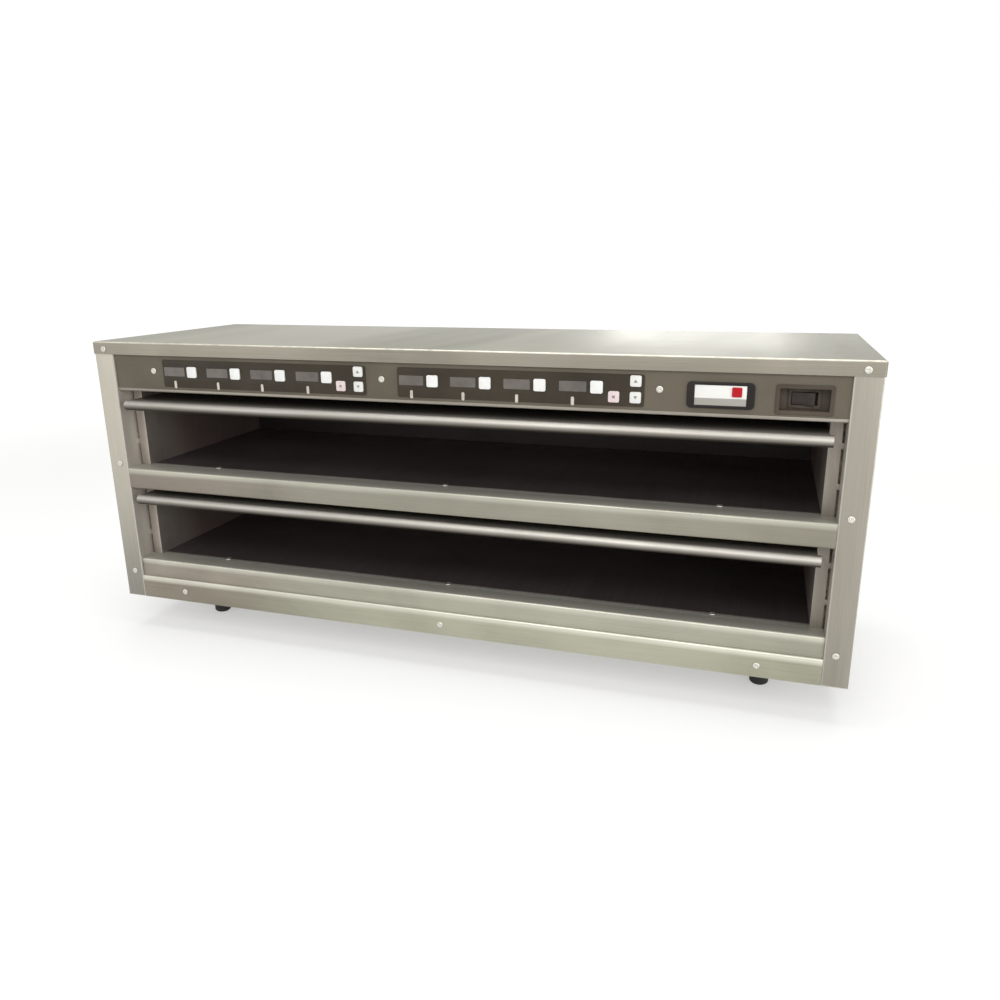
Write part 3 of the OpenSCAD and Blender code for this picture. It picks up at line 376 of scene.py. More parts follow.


# edge mask: bends and edges turned away from the straight faces, brightened by wear and a painted
# highlight
worn_and_lit_edges, _, bend_out = new_group("worn_and_lit_edges", {}, ["Mask"])
bend_normal = add_node(worn_and_lit_edges, "ShaderNodeNewGeometry").outputs["Normal"]
bend_size = add_node(worn_and_lit_edges, "ShaderNodeVectorMath", {0: bend_normal}, operation="ABSOLUTE")
bend_axes = axes_of(bend_size.outputs[0])
bend_most = math_of("MAXIMUM", math_of("MAXIMUM", bend_axes["X"], bend_axes["Y"]), bend_axes["Z"])
bend_turn = span(bend_most, 1, 1 - EDGE_TURN)
bend_noise = add_node(
    worn_and_lit_edges, "ShaderNodeTexNoise", {"Vector": spot_in(worn_and_lit_edges), "Scale": BEND_BREAK_SCALE, "Detail": 3})
bend_break = span(bend_noise.outputs["Fac"], 0.3, 0.6, low=0.55)
feed(math_of("MULTIPLY", bend_turn, bend_break), bend_out.inputs["Mask"])


def tinted(colour, grain, tints):
    """A colour with tints over it, which are lighter and darker with the grain.
    Each of them is a group, its values, its output and the colour that this mask brings in."""
    for group, values, output, tint in tints:
        mask = place_group(colour.id_data, group, values)[output]
        darker, lighter = ([part * share for part in tint[:3]] + [1] for share in TINT_SHARES)
        colour = blend_colours(mask, colour, blend_colours(grain, darker, lighter))
    return colour


def stainless(
        name, dark, bright, worn_sheen, stretch, rough=(0.42, 0.6), patches=None, tints=(), film=None):
    """Brushed stainless sheet with smudged gloss, tints, and bends brightened by wear and a painted
    highlight.
    film is dust or baked dirt: a group, its values, its output and the bare metal that it leaves."""
    material, tree, shader = new_material(name, Metallic=1)
    grain = place_group(tree, brushed_grain, {"Stretch": stretch})["Grain"]
    smudge = place_group(tree, smudges, patches or {})["Mask"]
    bend_mask = place_group(tree, worn_and_lit_edges, {})["Mask"]
    tone = math_of("MULTIPLY_ADD", grain, GRAIN_SHARE, math_of("MULTIPLY", smudge, 1 - GRAIN_SHARE))
    colour = blend_colours(bend_mask, blend_colours(tone, dark, bright), worn_sheen)
    feed(tinted(colour, tone, tints), shader.inputs["Base Color"])
    if film:
        group, values, output, bare = film
        cover = place_group(tree, group, values)[output]
        feed(span(cover, 0, 1, 1, bare), shader.inputs["Metallic"])
    feed(span(tone, 0, 1, *reversed(rough)), shader.inputs["Roughness"])
    roughen(shader, grain, GRAIN_DEPTH, GRAIN_BUMP)
    return material


base_steel = stainless("base_steel", BASE_DARK, BASE_BRIGHT, BASE_WORN_SHEEN, LONG_GRAIN)
eased("base_pan", "base_pan_sheet", base_steel, SHEET_EASE, pierced=True)


# Side panels: each is one brushed stainless sheet that folds round the front as a column.
# The column's outer corner is a tight bend and its inner return is dull with film. The grain runs
# upright. The left sheet has lighter tones than the right as painted light, and painted shade darkens
# it towards its foot.
UPRIGHT_GRAIN = (1300, 1300, 5)
CORNER_EASE = 0.0016
UPRIGHT = 0.9
SIDE_PATCHES = {"Size": (11, 11, 1.6)}
# Tones per sheet: dark, bright and foot; the left's are lighter as painted light, its foot painted
# shade.
SIDE_LIT_TONES = {
    "left": ((0.39, 0.366, 0.308, 1), (0.53, 0.505, 0.432, 1), (0.25, 0.238, 0.214, 1)),
    "right": ((0.27, 0.25, 0.209, 1), (0.36, 0.34, 0.288, 1), (0.32, 0.3, 0.255, 1)),
}
SIDE_WORN_SHEEN = (0.6, 0.58, 0.5, 1)
# The mask of the painted shade towards the foot of each sheet.
FOOT_SHADE = {"Direction": (0, 0, -1), "Start": -0.34, "End": 0.02, "Unevenness": 0.08}
RETURN_TONE = (0.52, 0.484, 0.43, 1)
RETURN_BARE = 0.35
RETURN_FROM = 0.0025
RETURN_TO = 0.0005

# passage: rises from 0 to 1 between two distances along a direction, with an uneven front
passage, passage_in, passage_out = new_group(
    "passage",
    {"Direction": ("NodeSocketVector", (0.0, 1.0, 0.0)), "Start": ("NodeSocketFloat", 0.0),
     "End": ("NodeSocketFloat", 0.1), "Unevenness": ("NodeSocketFloat", 0.0)},
    ["Mask"])
passage_spot = spot_in(passage)
passage_way = add_node(
    passage, "ShaderNodeVectorMath", {0: passage_spot, 1: passage_in.outputs["Direction"]},
    operation="DOT_PRODUCT")
passage_noise = add_node(
    passage, "ShaderNodeTexNoise", {"Vector": passage_spot, "Scale": 9, "Detail": 3})
passage_reach = math_of(
    "MULTIPLY_ADD", math_of("SUBTRACT", passage_noise.outputs["Fac"], 0.5),
    passage_in.outputs["Unevenness"], passage_way.outputs["Value"])
passage_rise = span(
    passage_reach, passage_in.outputs["Start"], passage_in.outputs["End"],
    interpolation_type="SMOOTHSTEP")
feed(passage_rise, passage_out.inputs["Mask"])


def column_share(middle, direction):
    """The upright bends of the front column are rounder than the cut edges."""
    outer_front = abs(direction.z) > UPRIGHT and middle.y < column_front + SAME_POINT
    return 1 if outer_front else SHEET_EASE / CORNER_EASE


column_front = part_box("side_panel_left")[0].y
return_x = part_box("side_panel_left")[1].x
for side, (dark, bright, foot) in SIDE_LIT_TONES.items():
    inwards = (1 if side == "left" else -1, 0, 0)
    fold_span = {"Direction": inwards, "Start": return_x - RETURN_FROM, "End": return_x - RETURN_TO}
    fold = (passage, fold_span, "Mask")
    side_steel = stainless(
        f"side_steel_{side}", dark, bright, SIDE_WORN_SHEEN, UPRIGHT_GRAIN, patches=SIDE_PATCHES,
        tints=[(passage, FOOT_SHADE, "Mask", foot), (*fold, RETURN_TONE)], film=(*fold, RETURN_BARE))
    eased(f"side_panel_{side}", f"side_sheet_{side}", side_steel, CORNER_EASE, column_share,
          pierced=True)


# Back panel: a flat stainless sheet, screwed on, with two groups of vent slots and the cord entry.
# The cable gland is black nylon: hexagon, clamping cap and the lock nut behind the sheet.
REAR_DARK = (0.34, 0.32, 0.277, 1)
REAR_BRIGHT = (0.44, 0.42, 0.37, 1)
REAR_PATCHES = {"Size": (1.2, 6, 11)}
GLAND_EASE = 0.0005
NYLON_BLACK = (0.014, 0.014, 0.015, 1)
NYLON_GREY = (0.03, 0.03, 0.031, 1)
NYLON_GLOSS = (0.4, 0.55)


def dress(node, material):
    """A CAD node that stays as it is gets its material."""
    mesh = frame["nodes"][node].data
    mesh.materials.clear()
    mesh.materials.append(material)


rear_steel = stainless(
    "rear_steel", REAR_DARK, REAR_BRIGHT, SIDE_WORN_SHEEN, LONG_GRAIN, patches=REAR_PATCHES)
dress("back_panel", rear_steel)
gland_nylon = moulded("gland_nylon", NYLON_BLACK, NYLON_GREY, NYLON_GLOSS)
eased("cable_gland", "cord_gland", gland_nylon, GLAND_EASE)


# Base front cover, lower rail and middle rail: folded stainless strips across the front, held by
# screws. Their upper bends carry wear and a painted highlight band, their upward ledges dust and
# painted light from above, and their ends painted shade.
# Per strip: tones, painted shade at the ends, and wear with a painted highlight along the upper bend.
STRIP_TONES = {
    "base_front_cover": {
        "dark": (0.336, 0.332, 0.262, 1), "bright": (0.474, 0.468, 0.372, 1),
        "left": (0.278, 0.25, 0.2, 1), "right": (0.32, 0.315, 0.242, 1),
        "rubbed": (0.6, 0.585, 0.5, 1)},
    "lower_rail": {
        "dark": (0.323, 0.317, 0.256, 1), "bright": (0.455, 0.446, 0.362, 1),
        "left": (0.328, 0.294, 0.246, 1), "right": (0.322, 0.317, 0.255, 1),
        "rubbed": (0.51, 0.495, 0.42, 1)},
    "middle_rail": {
        "dark": (0.24, 0.229, 0.187, 1), "bright": (0.338, 0.322, 0.265, 1),
        "left": (0.245, 0.216, 0.183, 1), "right": (0.253, 0.238, 0.19, 1),
        "rubbed": (0.42, 0.408, 0.343, 1)},
}
# Painted shade: the strips turn darker towards both ends.
STRIP_SHADED_ENDS = {
    "left": {"Direction": (-1, 0, 0), "Start": 0.12, "End": 0.46, "Unevenness": 0.1},
    "right": {"Direction": (1, 0, 0), "Start": 0.26, "End": 0.56, "Unevenness": 0.1},
}
RAIL_PATCHES = {"Size": (4, 4, 8)}
# Dust with painted light from above on the upward ledges.
RAIL_DUST_AND_LIGHT = (0.4, 0.385, 0.33, 1)
RAIL_BARE = 0.35
# The band of painted highlight below each upper bend.
SHEEN_BAND = 0.008
BAND_TILT = (0, -0.02, 1)

# facings: how far a face is turned up or down, and how far it stands upright
facings, _, facing_out = new_group("facings", {}, ["Up", "Down", "Upright"])
facing_z = axes_of(add_node(facings, "ShaderNodeNewGeometry").outputs["Normal"])["Z"]
for turned, part, start, end in (
        ("Up", facing_z, 0.75, 0.98), ("Down", facing_z, 0.35, -0.55),
        ("Upright", math_of("ABSOLUTE", facing_z), 0.8, 0.1)):
    feed(span(part, start, end), facing_out.inputs[turned])

for strip, tones in STRIP_TONES.items():
    bend_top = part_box(strip)[1].z
    band = {"Direction": BAND_TILT, "Start": bend_top - SHEEN_BAND, "End": bend_top,
            "Unevenness": 0.003}
    ends = [(passage, values, "Mask", tones[end]) for end, values in STRIP_SHADED_ENDS.items()]
    strip_steel = stainless(
        f"{strip}_steel", tones["dark"], tones["bright"], tones["rubbed"], LONG_GRAIN,
        patches=RAIL_PATCHES,
        tints=[*ends, (passage, band, "Mask", tones["rubbed"]), (facings, {}, "Up", RAIL_DUST_AND_LIGHT)],
        film=(facings, {}, "Up", RAIL_BARE))
    eased(strip, f"{strip}_strip", strip_steel, SHEET_EASE, pierced=True)


# Shelf plates, heat plates and rear liners: dark hard-anodised aluminium around the pans.
# The shelves are screwed down and rubbed by sliding pans; painted light makes them paler towards the
# rear, and a painted highlight runs along the front edge.
SHELF_DARK = (0.038, 0.029, 0.03, 1)
SHELF_BRIGHT = (0.076, 0.059, 0.06, 1)
# Painted light, paler towards the rear, and a painted highlight along the front edge of the shelves.
SHELF_REAR_LIGHT = (0.28, 0.216, 0.22, 1)
SHELF_EDGE_HIGHLIGHT = (0.3, 0.285, 0.25, 1)
EDGE_FROM = 0.014
EDGE_TO = 0.006
PLATE_DARK = (0.036, 0.027, 0.029, 1)
PLATE_BRIGHT = (0.072, 0.055, 0.057, 1)
PALE_FROM = 0.25
PAN_RUB = (1300, 4, 1300)
PLATE_GRAIN = (700, 700, 700)
PLATE_PATCHES = {"Size": (9, 9, 9)}
PLATE_GLOSS = (0.42, 0.62)
PLATE_BUMP = 0.2
PLATE_EASE = 0.0004


def anodised(name, dark, bright, stretch, tints=()):
    """Dark hard-anodised plate with fine rub marks and dull patches, and tints as on stainless."""
    material, tree, shader = new_material(name, Metallic=0.25, Specular_IOR_Level=0.3)
    grain = place_group(tree, brushed_grain, {"Stretch": stretch})["Grain"]
    smudge = place_group(tree, smudges, PLATE_PATCHES)["Mask"]
    colour = blend_colours(grain, dark, bright)
    feed(tinted(colour, grain, tints), shader.inputs["Base Color"])
    feed(span(smudge, 0, 1, *PLATE_GLOSS), shader.inputs["Roughness"])
    roughen(shader, grain, GRAIN_DEPTH, PLATE_BUMP)
    return material


shelf_low, shelf_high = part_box("lower_shelf_plate")
rear_light_span = {
    "Start": shelf_low.lerp(shelf_high, PALE_FROM).y, "End": shelf_high.y, "Unevenness": 0.04}
front_highlight_span = {
    "Direction": (0, -1, 0), "Start": -shelf_low.y - EDGE_FROM, "End": -shelf_low.y - EDGE_TO,
    "Unevenness": 0.004}
pan_marked_lit_plate = anodised(
    "pan_marked_lit_plate", SHELF_DARK, SHELF_BRIGHT, PAN_RUB,
    [(passage, rear_light_span, "Mask", SHELF_REAR_LIGHT), (passage, front_highlight_span, "Mask", SHELF_EDGE_HIGHLIGHT)])
plain_plate = anodised("plain_plate", PLATE_DARK, PLATE_BRIGHT, PLATE_GRAIN)
for tier in ("lower", "upper"):
    eased(f"{tier}_shelf_plate", f"{tier}_shelf", pan_marked_lit_plate, PLATE_EASE, pierced=True)
    dress(f"{tier}_heat_plate", plain_plate)
    dress(f"{tier}_rear_liner", plain_plate)


# Side liners: stainless walls of the tiers with the front jamb, the lugs that reach the columns
# and the ledge that carries the pan cover. They turn darker and browner away from the front, and the
# left liners have lighter tones than the right as painted light.
# The left liners' tones are lighter than the right's, as painted light.
LINER_LIT_TONES = {
    "left": ((0.36, 0.31, 0.27, 1), (0.54, 0.49, 0.435, 1)),
    "right": ((0.25, 0.22, 0.19, 1), (0.38, 0.345, 0.305, 1)),
}
LINER_WORN_SHEEN = (0.7, 0.66, 0.6, 1)
LINER_DEEP_TONE = (0.2, 0.146, 0.128, 1)
LINER_BARE = 0.4
LINER_GLOSS = (0.5, 0.68)
DEEP_FROM = 0.004
DEEP_TO = 0.13
jamb_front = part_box("lower_liner_left")[0].y
deep_span = {
    "Start": jamb_front + DEEP_FROM, "End": jamb_front + DEEP_TO, "Unevenness": 0.05}
deep_tint = (passage, deep_span, "Mask")
for side, tones in LINER_LIT_TONES.items():
    liner_steel = stainless(
        f"liner_steel_{side}", *tones, LINER_WORN_SHEEN, UPRIGHT_GRAIN, LINER_GLOSS,
        tints=[(*deep_tint, LINER_DEEP_TONE)], film=(*deep_tint, LINER_BARE))
    for tier in ("lower", "upper"):
        eased(f"{tier}_liner_{side}", f"{tier}_wall_{side}", liner_steel, SHEET_EASE)


# Heating and insulation inside the case: silicone mats with a wire wound through them, steel
# probes, and slabs of mineral wool. All of them are closed in by the sheets around them.
MAT_DARK = (0.32, 0.06, 0.025, 1)
MAT_BRIGHT = (0.5, 0.12, 0.05, 1)
MAT_WIRE = {"Scale": 14, "Distortion": 1.5, "Detail": 1}
WIRE_HEIGHT = 0.0004
WIRE_BUMP = 0.4
WOOL_DARK = (0.5, 0.42, 0.24, 1)
WOOL_BRIGHT = (0.78, 0.71, 0.5, 1)
WOOL_DEPTH = 0.0015
WOOL_BUMP = 0.7
PROBE_DARK = (0.4, 0.39, 0.36, 1)
PROBE_BRIGHT = (0.6, 0.58, 0.54, 1)
PROBE_WORN_SHEEN = (0.7, 0.68, 0.64, 1)

mat_silicone, mat_tree, mat_shader = new_material("mat_silicone", Roughness=0.6)
mat_lines = add_node(mat_tree, "ShaderNodeTexWave", {"Vector": spot_in(mat_tree), **MAT_WIRE})
mat_wire = mat_lines.outputs["Fac"]
feed(blend_colours(mat_wire, MAT_DARK, MAT_BRIGHT), mat_shader.inputs["Base Color"])
roughen(mat_shader, mat_wire, WIRE_HEIGHT, WIRE_BUMP)
for mats in ("shelf_heaters", "top_heaters"):
    dress(mats, mat_silicone)

wool, wool_tree, wool_shader = new_material("mineral_wool", Roughness=0.95)
wool_grain = place_group(wool_tree, moulded_grain, {"Pebble": 260, "Patch": 30})["Grain"]
feed(blend_colours(wool_grain, WOOL_DARK, WOOL_BRIGHT), wool_shader.inputs["Base Color"])
roughen(wool_shader, wool_grain, WOOL_DEPTH, WOOL_BUMP)
for slab in ("wall_insulation", "insulation_slabs"):
    dress(slab, wool)

probe_steel = stainless("probe_steel", PROBE_DARK, PROBE_BRIGHT, PROBE_WORN_SHEEN, LONG_GRAIN)
dress("temperature_probes", probe_steel)


# Electrical parts on the tray: power board, terminal block, wire bundles and the timer boards
# behind the keypads. Boards are green glass fibre with a solder mask over the copper tracks.
BOARD_DARK = (0.012, 0.075, 0.03, 1)
BOARD_TRACK = (0.035, 0.16, 0.07, 1)
TRACKS_PER_M = 160
TRACK_HEIGHT = 0.0001
TRACK_BUMP = 0.4
CREAM_DARK = (0.6, 0.55, 0.44, 1)
CREAM_BRIGHT = (0.78, 0.74, 0.62, 1)
WIRE_GLOSS = (0.45, 0.6)
dress("component_tray", rear_steel)
board_mask, board_tree, board_shader = new_material("board_mask", Roughness=0.35)
board_cells = add_node(
    board_tree, "ShaderNodeTexVoronoi", {"Vector": spot_in(board_tree), "Scale": TRACKS_PER_M},
    distance="CHEBYCHEV", feature="F1")
board_lines = span(board_cells.outputs["Distance"], 0.25, 0.4)
feed(blend_colours(board_lines, BOARD_DARK, BOARD_TRACK), board_shader.inputs["Base Color"])
roughen(board_shader, board_lines, TRACK_HEIGHT, TRACK_BUMP)
for board in ("power_board", "timer_boards"):
    dress(board, board_mask)
dress("terminal_block", moulded("terminal_cream", CREAM_DARK, CREAM_BRIGHT, NYLON_GLOSS))
dress("wiring", moulded("wire_jacket", NYLON_BLACK, NYLON_GREY, WIRE_GLOSS, pebble=500))


# Pan covers: a flat stainless sheet over each row of pans, rolled at the front into a bar.
# The bar is the pull and is polished by hands; painted shade darkens the sheet in the gap behind the
# bar and on its downward faces.
COVER_DARK = (0.33, 0.305, 0.27, 1)
COVER_BRIGHT = (0.46, 0.435, 0.395, 1)
COVER_WORN_SHEEN = (0.44, 0.42, 0.38, 1)
# Painted shade on downward faces, and in the gap just behind the bar.
COVER_UNDERSIDE_SHADE = (0.07, 0.062, 0.05, 1)
COVER_GAP_SHADE = (0.21, 0.188, 0.162, 1)
COVER_GLOSS = (0.44, 0.58)
TINTED_FROM = 0.013
TINTED_TO = 0.03
bar_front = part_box("lower_pan_cover")[0].y
behind_bar = {"Start": bar_front + TINTED_FROM, "End": bar_front + TINTED_TO, "Unevenness": 0.006}
cover_steel = stainless(
    "cover_steel", COVER_DARK, COVER_BRIGHT, COVER_WORN_SHEEN, LONG_GRAIN, COVER_GLOSS,
    tints=[(passage, behind_bar, "Mask", COVER_GAP_SHADE), (facings, {}, "Down", COVER_UNDERSIDE_SHADE)])
for tier in ("lower", "upper"):
    eased(f"{tier}_pan_cover", f"{tier}_cover_sheet", cover_steel, SHEET_EASE)


# Lid: the top panel, one thick brushed sheet with its edges folded down over the case.
# The folds carry wear and a painted highlight, the hanging edge a browner painted shade; the top
# carries broad wiped patches, shifted so that they also paint a darker reflection across its middle.
LID_BEND = 0.003
BEND_STEPS = 5
LID_DARK = (0.195, 0.191, 0.155, 1)
LID_BRIGHT = (0.365, 0.355, 0.297, 1)
LID_WORN_SHEEN = (0.7, 0.67, 0.57, 1)
# Painted shade on the upright hanging edge, browner than the top.
LID_EDGE_SHADE = (0.27, 0.25, 0.205, 1)
LID_GLOSS = (0.44, 0.6)
# Wiped patches, shifted so that a darker patch paints a reflection across the middle of the top.
LID_PATCHES = {"Size": (3.2, 0.8, 3.2), "Shift": (1.1, 3.0, 0)}
lid_steel = stainless(
    "lid_steel", LID_DARK, LID_BRIGHT, LID_WORN_SHEEN, LONG_GRAIN, LID_GLOSS, LID_PATCHES,
    [(facings, {}, "Upright", LID_EDGE_SHADE)])
lid_low, lid_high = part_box("top_panel")


def lid_share(middle, direction):
    """Only the outer folds along the top and at the corners have the full bend."""
    on_top = middle.z > lid_high.z - SAME_POINT
    at_end = min(middle.x - lid_low.x, lid_high.x - middle.x) < SAME_POINT
    at_front = min(middle.y - lid_low.y, lid_high.y - middle.y) < SAME_POINT
    corner = abs(direction.z) > UPRIGHT and at_end and at_front
    return 1 if on_top or corner else SHEET_EASE / LID_BEND


eased("top_panel", "lid_sheet", lid_steel, LID_BEND, lid_share, BEND_STEPS, pierced=True)


# Control panel: a dark grey satin fascia screwed on between the columns, with a folded lip under it.
# The paint is even with a fine horizontal grain; the lip is bare metal that frames the opening.
FASCIA_DARK = (0.094, 0.079, 0.056, 1)
FASCIA_BRIGHT = (0.136, 0.117, 0.086, 1)
FASCIA_GRAIN = {"Stretch": (20, 900, 900)}
FASCIA_PATCHES = {"Size": (7, 7, 7)}
FASCIA_GLOSS = (0.42, 0.58)
LIP_DARK = (0.24, 0.22, 0.19, 1)
LIP_BRIGHT = (0.34, 0.315, 0.275, 1)
LIP_WORN_SHEEN = (0.42, 0.39, 0.34, 1)

fascia_paint, fascia_tree, fascia_shader = new_material(
    "fascia_paint", Metallic=0.2, Specular_IOR_Level=0.35)
fascia_grain = place_group(fascia_tree, brushed_grain, FASCIA_GRAIN)["Grain"]
fascia_smudge = place_group(fascia_tree, smudges, FASCIA_PATCHES)["Mask"]
fascia_colour = blend_colours(fascia_smudge, FASCIA_DARK, FASCIA_BRIGHT)
feed(fascia_colour, fascia_shader.inputs["Base Color"])
feed(span(fascia_grain, 0, 1, *FASCIA_GLOSS), fascia_shader.inputs["Roughness"])
roughen(fascia_shader, fascia_grain, GRAIN_DEPTH, GRAIN_BUMP)
dress("control_panel", fascia_paint)
lip_steel = stainless("lip_steel", LIP_DARK, LIP_BRIGHT, LIP_WORN_SHEEN, LONG_GRAIN)
eased("panel_lip", "panel_lip_strip", lip_steel, SHEET_EASE)


# Keypads: two dark overlays stuck to the panel, with smoked display windows and a small clear
# lamp lens under each window. Windows and lenses are rounded plates set into the overlay.
OVERLAY_DARK = (0.03, 0.023, 0.015, 1)
OVERLAY_BRIGHT = (0.05, 0.04, 0.027, 1)
WINDOW_DARK = (0.095, 0.082, 0.071, 1)
WINDOW_BRIGHT = (0.155, 0.136, 0.119, 1)
LENS_DARK = (0.45, 0.41, 0.35, 1)
LENS_BRIGHT = (0.68, 0.64, 0.56, 1)
WINDOW_CORNER = 0.0012
LENS_CORNER = 0.002
OVERLAY_EASE = 0.0002
OVERLAY_GLOSS = (0.4, 0.56)
WINDOW_EASE = 0.0002
WINDOW_GLOSS = (0.1, 0.2)
LENS_EASE = 0.0004
LENS_GLOSS = (0.2, 0.32)
CORNER_STEPS = 5
EASE_STEPS = 2
RIM_ANGLE = math.radians(60)
overlay_film = moulded(
    "overlay_film", OVERLAY_DARK, OVERLAY_BRIGHT, OVERLAY_GLOSS, pebble=1500, patch=14,
    Specular_IOR_Level=0.22)
for side in ("left", "right"):
    eased(f"{side}_keypad", f"{side}_overlay", overlay_film, OVERLAY_EASE)


def separate_boxes(node):
    """Lowest and highest corner of each separate solid of a CAD node."""
    shape = bmesh.new()
    shape.from_mesh(frame["nodes"][node].data)
    bmesh.ops.remove_doubles(shape, verts=shape.verts, dist=SAME_POINT)
    found, seen = [], set()
    for start in shape.verts:
        if start in seen:
            continue
        solid, front = [], [start]
        seen.add(start)
        while front:
            vert = front.pop()
            solid.append(vert.co.copy())
            for edge in vert.link_edges:
                other = edge.other_vert(vert)
                if other not in seen:
                    seen.add(other)
                    front.append(other)
        found.append((Vector(map(min, zip(*solid))), Vector(map(max, zip(*solid)))))
    shape.free()
    return found


def geometry_tree(name, inputs):
    """A Geometry Nodes tree with its input sockets: (tree, input node, output node)."""
    tree = bpy.data.node_groups.new(name, "GeometryNodeTree")
    tree.interface.new_socket("Points", in_out="INPUT", socket_type="NodeSocketGeometry")
    for socket, kind in inputs.items():
        tree.interface.new_socket(socket, in_out="INPUT", socket_type=kind)
    tree.interface.new_socket("Pieces", in_out="OUTPUT", socket_type="NodeSocketGeometry")
    return tree, add_node(tree, "NodeGroupInput"), add_node(tree, "NodeGroupOutput")


def grow(name, tree, points, values, attributes=None):
    """Runs a Geometry Nodes tree on points and keeps the result as a plain mesh object."""
    seeds = bpy.data.meshes.new(name + "_points")
    seeds.from_pydata([tuple(point) for point in points], [], [])
    for key, (kind, field, entries) in (attributes or {}).items():
        layer = seeds.attributes.new(key, kind, "POINT")
        layer.data.foreach_set(field, entries)
    holder = bpy.data.objects.new(name + "_points", seeds)
    scene.collection.objects.link(holder)
    growth = holder.modifiers.new("growth", "NODES")
    growth.node_group = tree
    for item in tree.interface.items_tree:
        if item.in_out == "INPUT" and item.name in values:
            growth[item.identifier] = values[item.name]
    grown = bpy.data.meshes.new_from_object(
        holder.evaluated_get(bpy.context.evaluated_depsgraph_get()))
    grown.name = name
    holder.modifiers.remove(growth)
    bpy.data.objects.remove(holder)
    bpy.data.meshes.remove(seeds)
    piece = bpy.data.objects.new(name, grown)
    scene.collection.objects.link(piece)
    return piece


def finished(pieces, given, out):
    """Instances become real pieces with the finish that is given, as the result of their tree."""
    real = add_node(given.id_data, "GeometryNodeRealizeInstances", {"Geometry": pieces})
    finish = {"Geometry": real.outputs[0], "Material": given.outputs["Finish"]}
    feed(add_node(given.id_data, "GeometryNodeSetMaterial", finish).outputs[0], out.inputs["Pieces"])


# rounded_plates: a closed plate with round corners at each point, facing the front
rounded_plates, plate_in, plate_out = geometry_tree(
    "rounded_plates",
    {"Width": "NodeSocketFloat", "Height": "NodeSocketFloat", "Corner": "NodeSocketFloat",
     "Thickness": "NodeSocketFloat", "Finish": "NodeSocketMaterial"})
plate_line = add_node(
    rounded_plates, "GeometryNodeCurvePrimitiveQuadrilateral",
    {"Width": plate_in.outputs["Width"], "Height": plate_in.outputs["Height"]})
plate_corner = add_node(
    rounded_plates, "GeometryNodeFilletCurve",
    {"Curve": plate_line.outputs["Curve"], "Count": CORNER_STEPS, "Radius": plate_in.outputs["Corner"]},
    mode="POLY")
plate_face = add_node(
    rounded_plates, "GeometryNodeFillCurve", {"Curve": plate_corner.outputs["Curve"]}, mode="NGONS")
plate_depth = add_node(
    rounded_plates, "GeometryNodeExtrudeMesh",
    {"Mesh": plate_face.outputs["Mesh"], "Offset Scale": plate_in.outputs["Thickness"],
     "Individual": False})
plate_back = add_node(rounded_plates, "GeometryNodeFlipFaces", {"Mesh": plate_face.outputs["Mesh"]})
plate_both = add_node(rounded_plates, "GeometryNodeJoinGeometry")
for half in (plate_back, plate_depth):
    feed(half.outputs["Mesh"], plate_both.inputs["Geometry"])
plate_closed = add_node(
    rounded_plates, "GeometryNodeMergeByDistance",
    {"Geometry": plate_both.outputs["Geometry"], "Distance": SAME_POINT})
plate_spots = add_node(
    rounded_plates, "GeometryNodeInstanceOnPoints",
    {"Points": plate_in.outputs["Points"], "Instance": plate_closed.outputs["Geometry"],
     "Rotation": (math.pi / 2, 0, 0)})
finished(plate_spots.outputs["Instances"], plate_in, plate_out)


def plates_for(node, name, corner, ease, finish):
    """Rounded plates in the places of a CAD node's solids."""
    boxes = separate_boxes(node)
    size = boxes[0][1] - boxes[0][0]
    seats = [Vector(((low.x + high.x) / 2, high.y, (low.z + high.z) / 2)) for low, high in boxes]
    piece = grow(name, rounded_plates, seats,
                 {"Width": size.x, "Height": size.z, "Corner": corner, "Thickness": size.y,
                  "Finish": finish})
    rounding = piece.modifiers.new("rounded_edges", "BEVEL")
    rounding.width = ease
    rounding.segments = EASE_STEPS
    rounding.angle_limit = RIM_ANGLE
    stand_for(piece, node, finish)


window_smoke = moulded(
    "window_smoke", WINDOW_DARK, WINDOW_BRIGHT, WINDOW_GLOSS, patch=30, depth=0.00001)
plates_for("display_windows", "smoked_windows", WINDOW_CORNER, WINDOW_EASE, window_smoke)
lens_clear = moulded("lens_clear", LENS_DARK, LENS_BRIGHT, LENS_GLOSS, patch=120, depth=0.00002)
plates_for("timer_lamps", "lamp_lenses", LENS_CORNER, LENS_EASE, lens_clear)


# Timer buttons and keys: white moulded caps that stand out of the overlay, each on its own
# stem. The keys carry small printed marks: up, down, and a square for stop.
TIMERS = 8
CAP_EASE = 0.0006
CAP_SKIN = {"rough": (0.25, 0.4), "patch": 60, "depth": 0.00002}
BUTTON_DARK = (0.8, 0.8, 0.78, 1)
BUTTON_BRIGHT = (0.88, 0.88, 0.86, 1)
KEY_DARK = (0.72, 0.71, 0.68, 1)
KEY_BRIGHT = (0.82, 0.81, 0.78, 1)
STOP_DARK = (0.7, 0.58, 0.57, 1)
STOP_BRIGHT = (0.82, 0.69, 0.68, 1)
MARK_DARK = (0.2, 0.2, 0.2, 1)
MARK_BRIGHT = (0.27, 0.27, 0.265, 1)
MARK_GLOSS = (0.5, 0.6)
MARK_HALF = 0.0026
MARK_T = 0.00008
MARKS = {
    1: [(-0.7, -0.7), (0.7, -0.7), (0.7, 0.7), (-0.7, 0.7)],
    2: [(-1, 0.8), (0, -0.9), (1, 0.8)],
    3: [(-1, -0.8), (1, -0.8), (0, 0.9)],
}


def cap_share(middle, direction):
    """Only the edges in front of the overlay are rounded."""
    return 1 if middle.y < overlay_front else 0


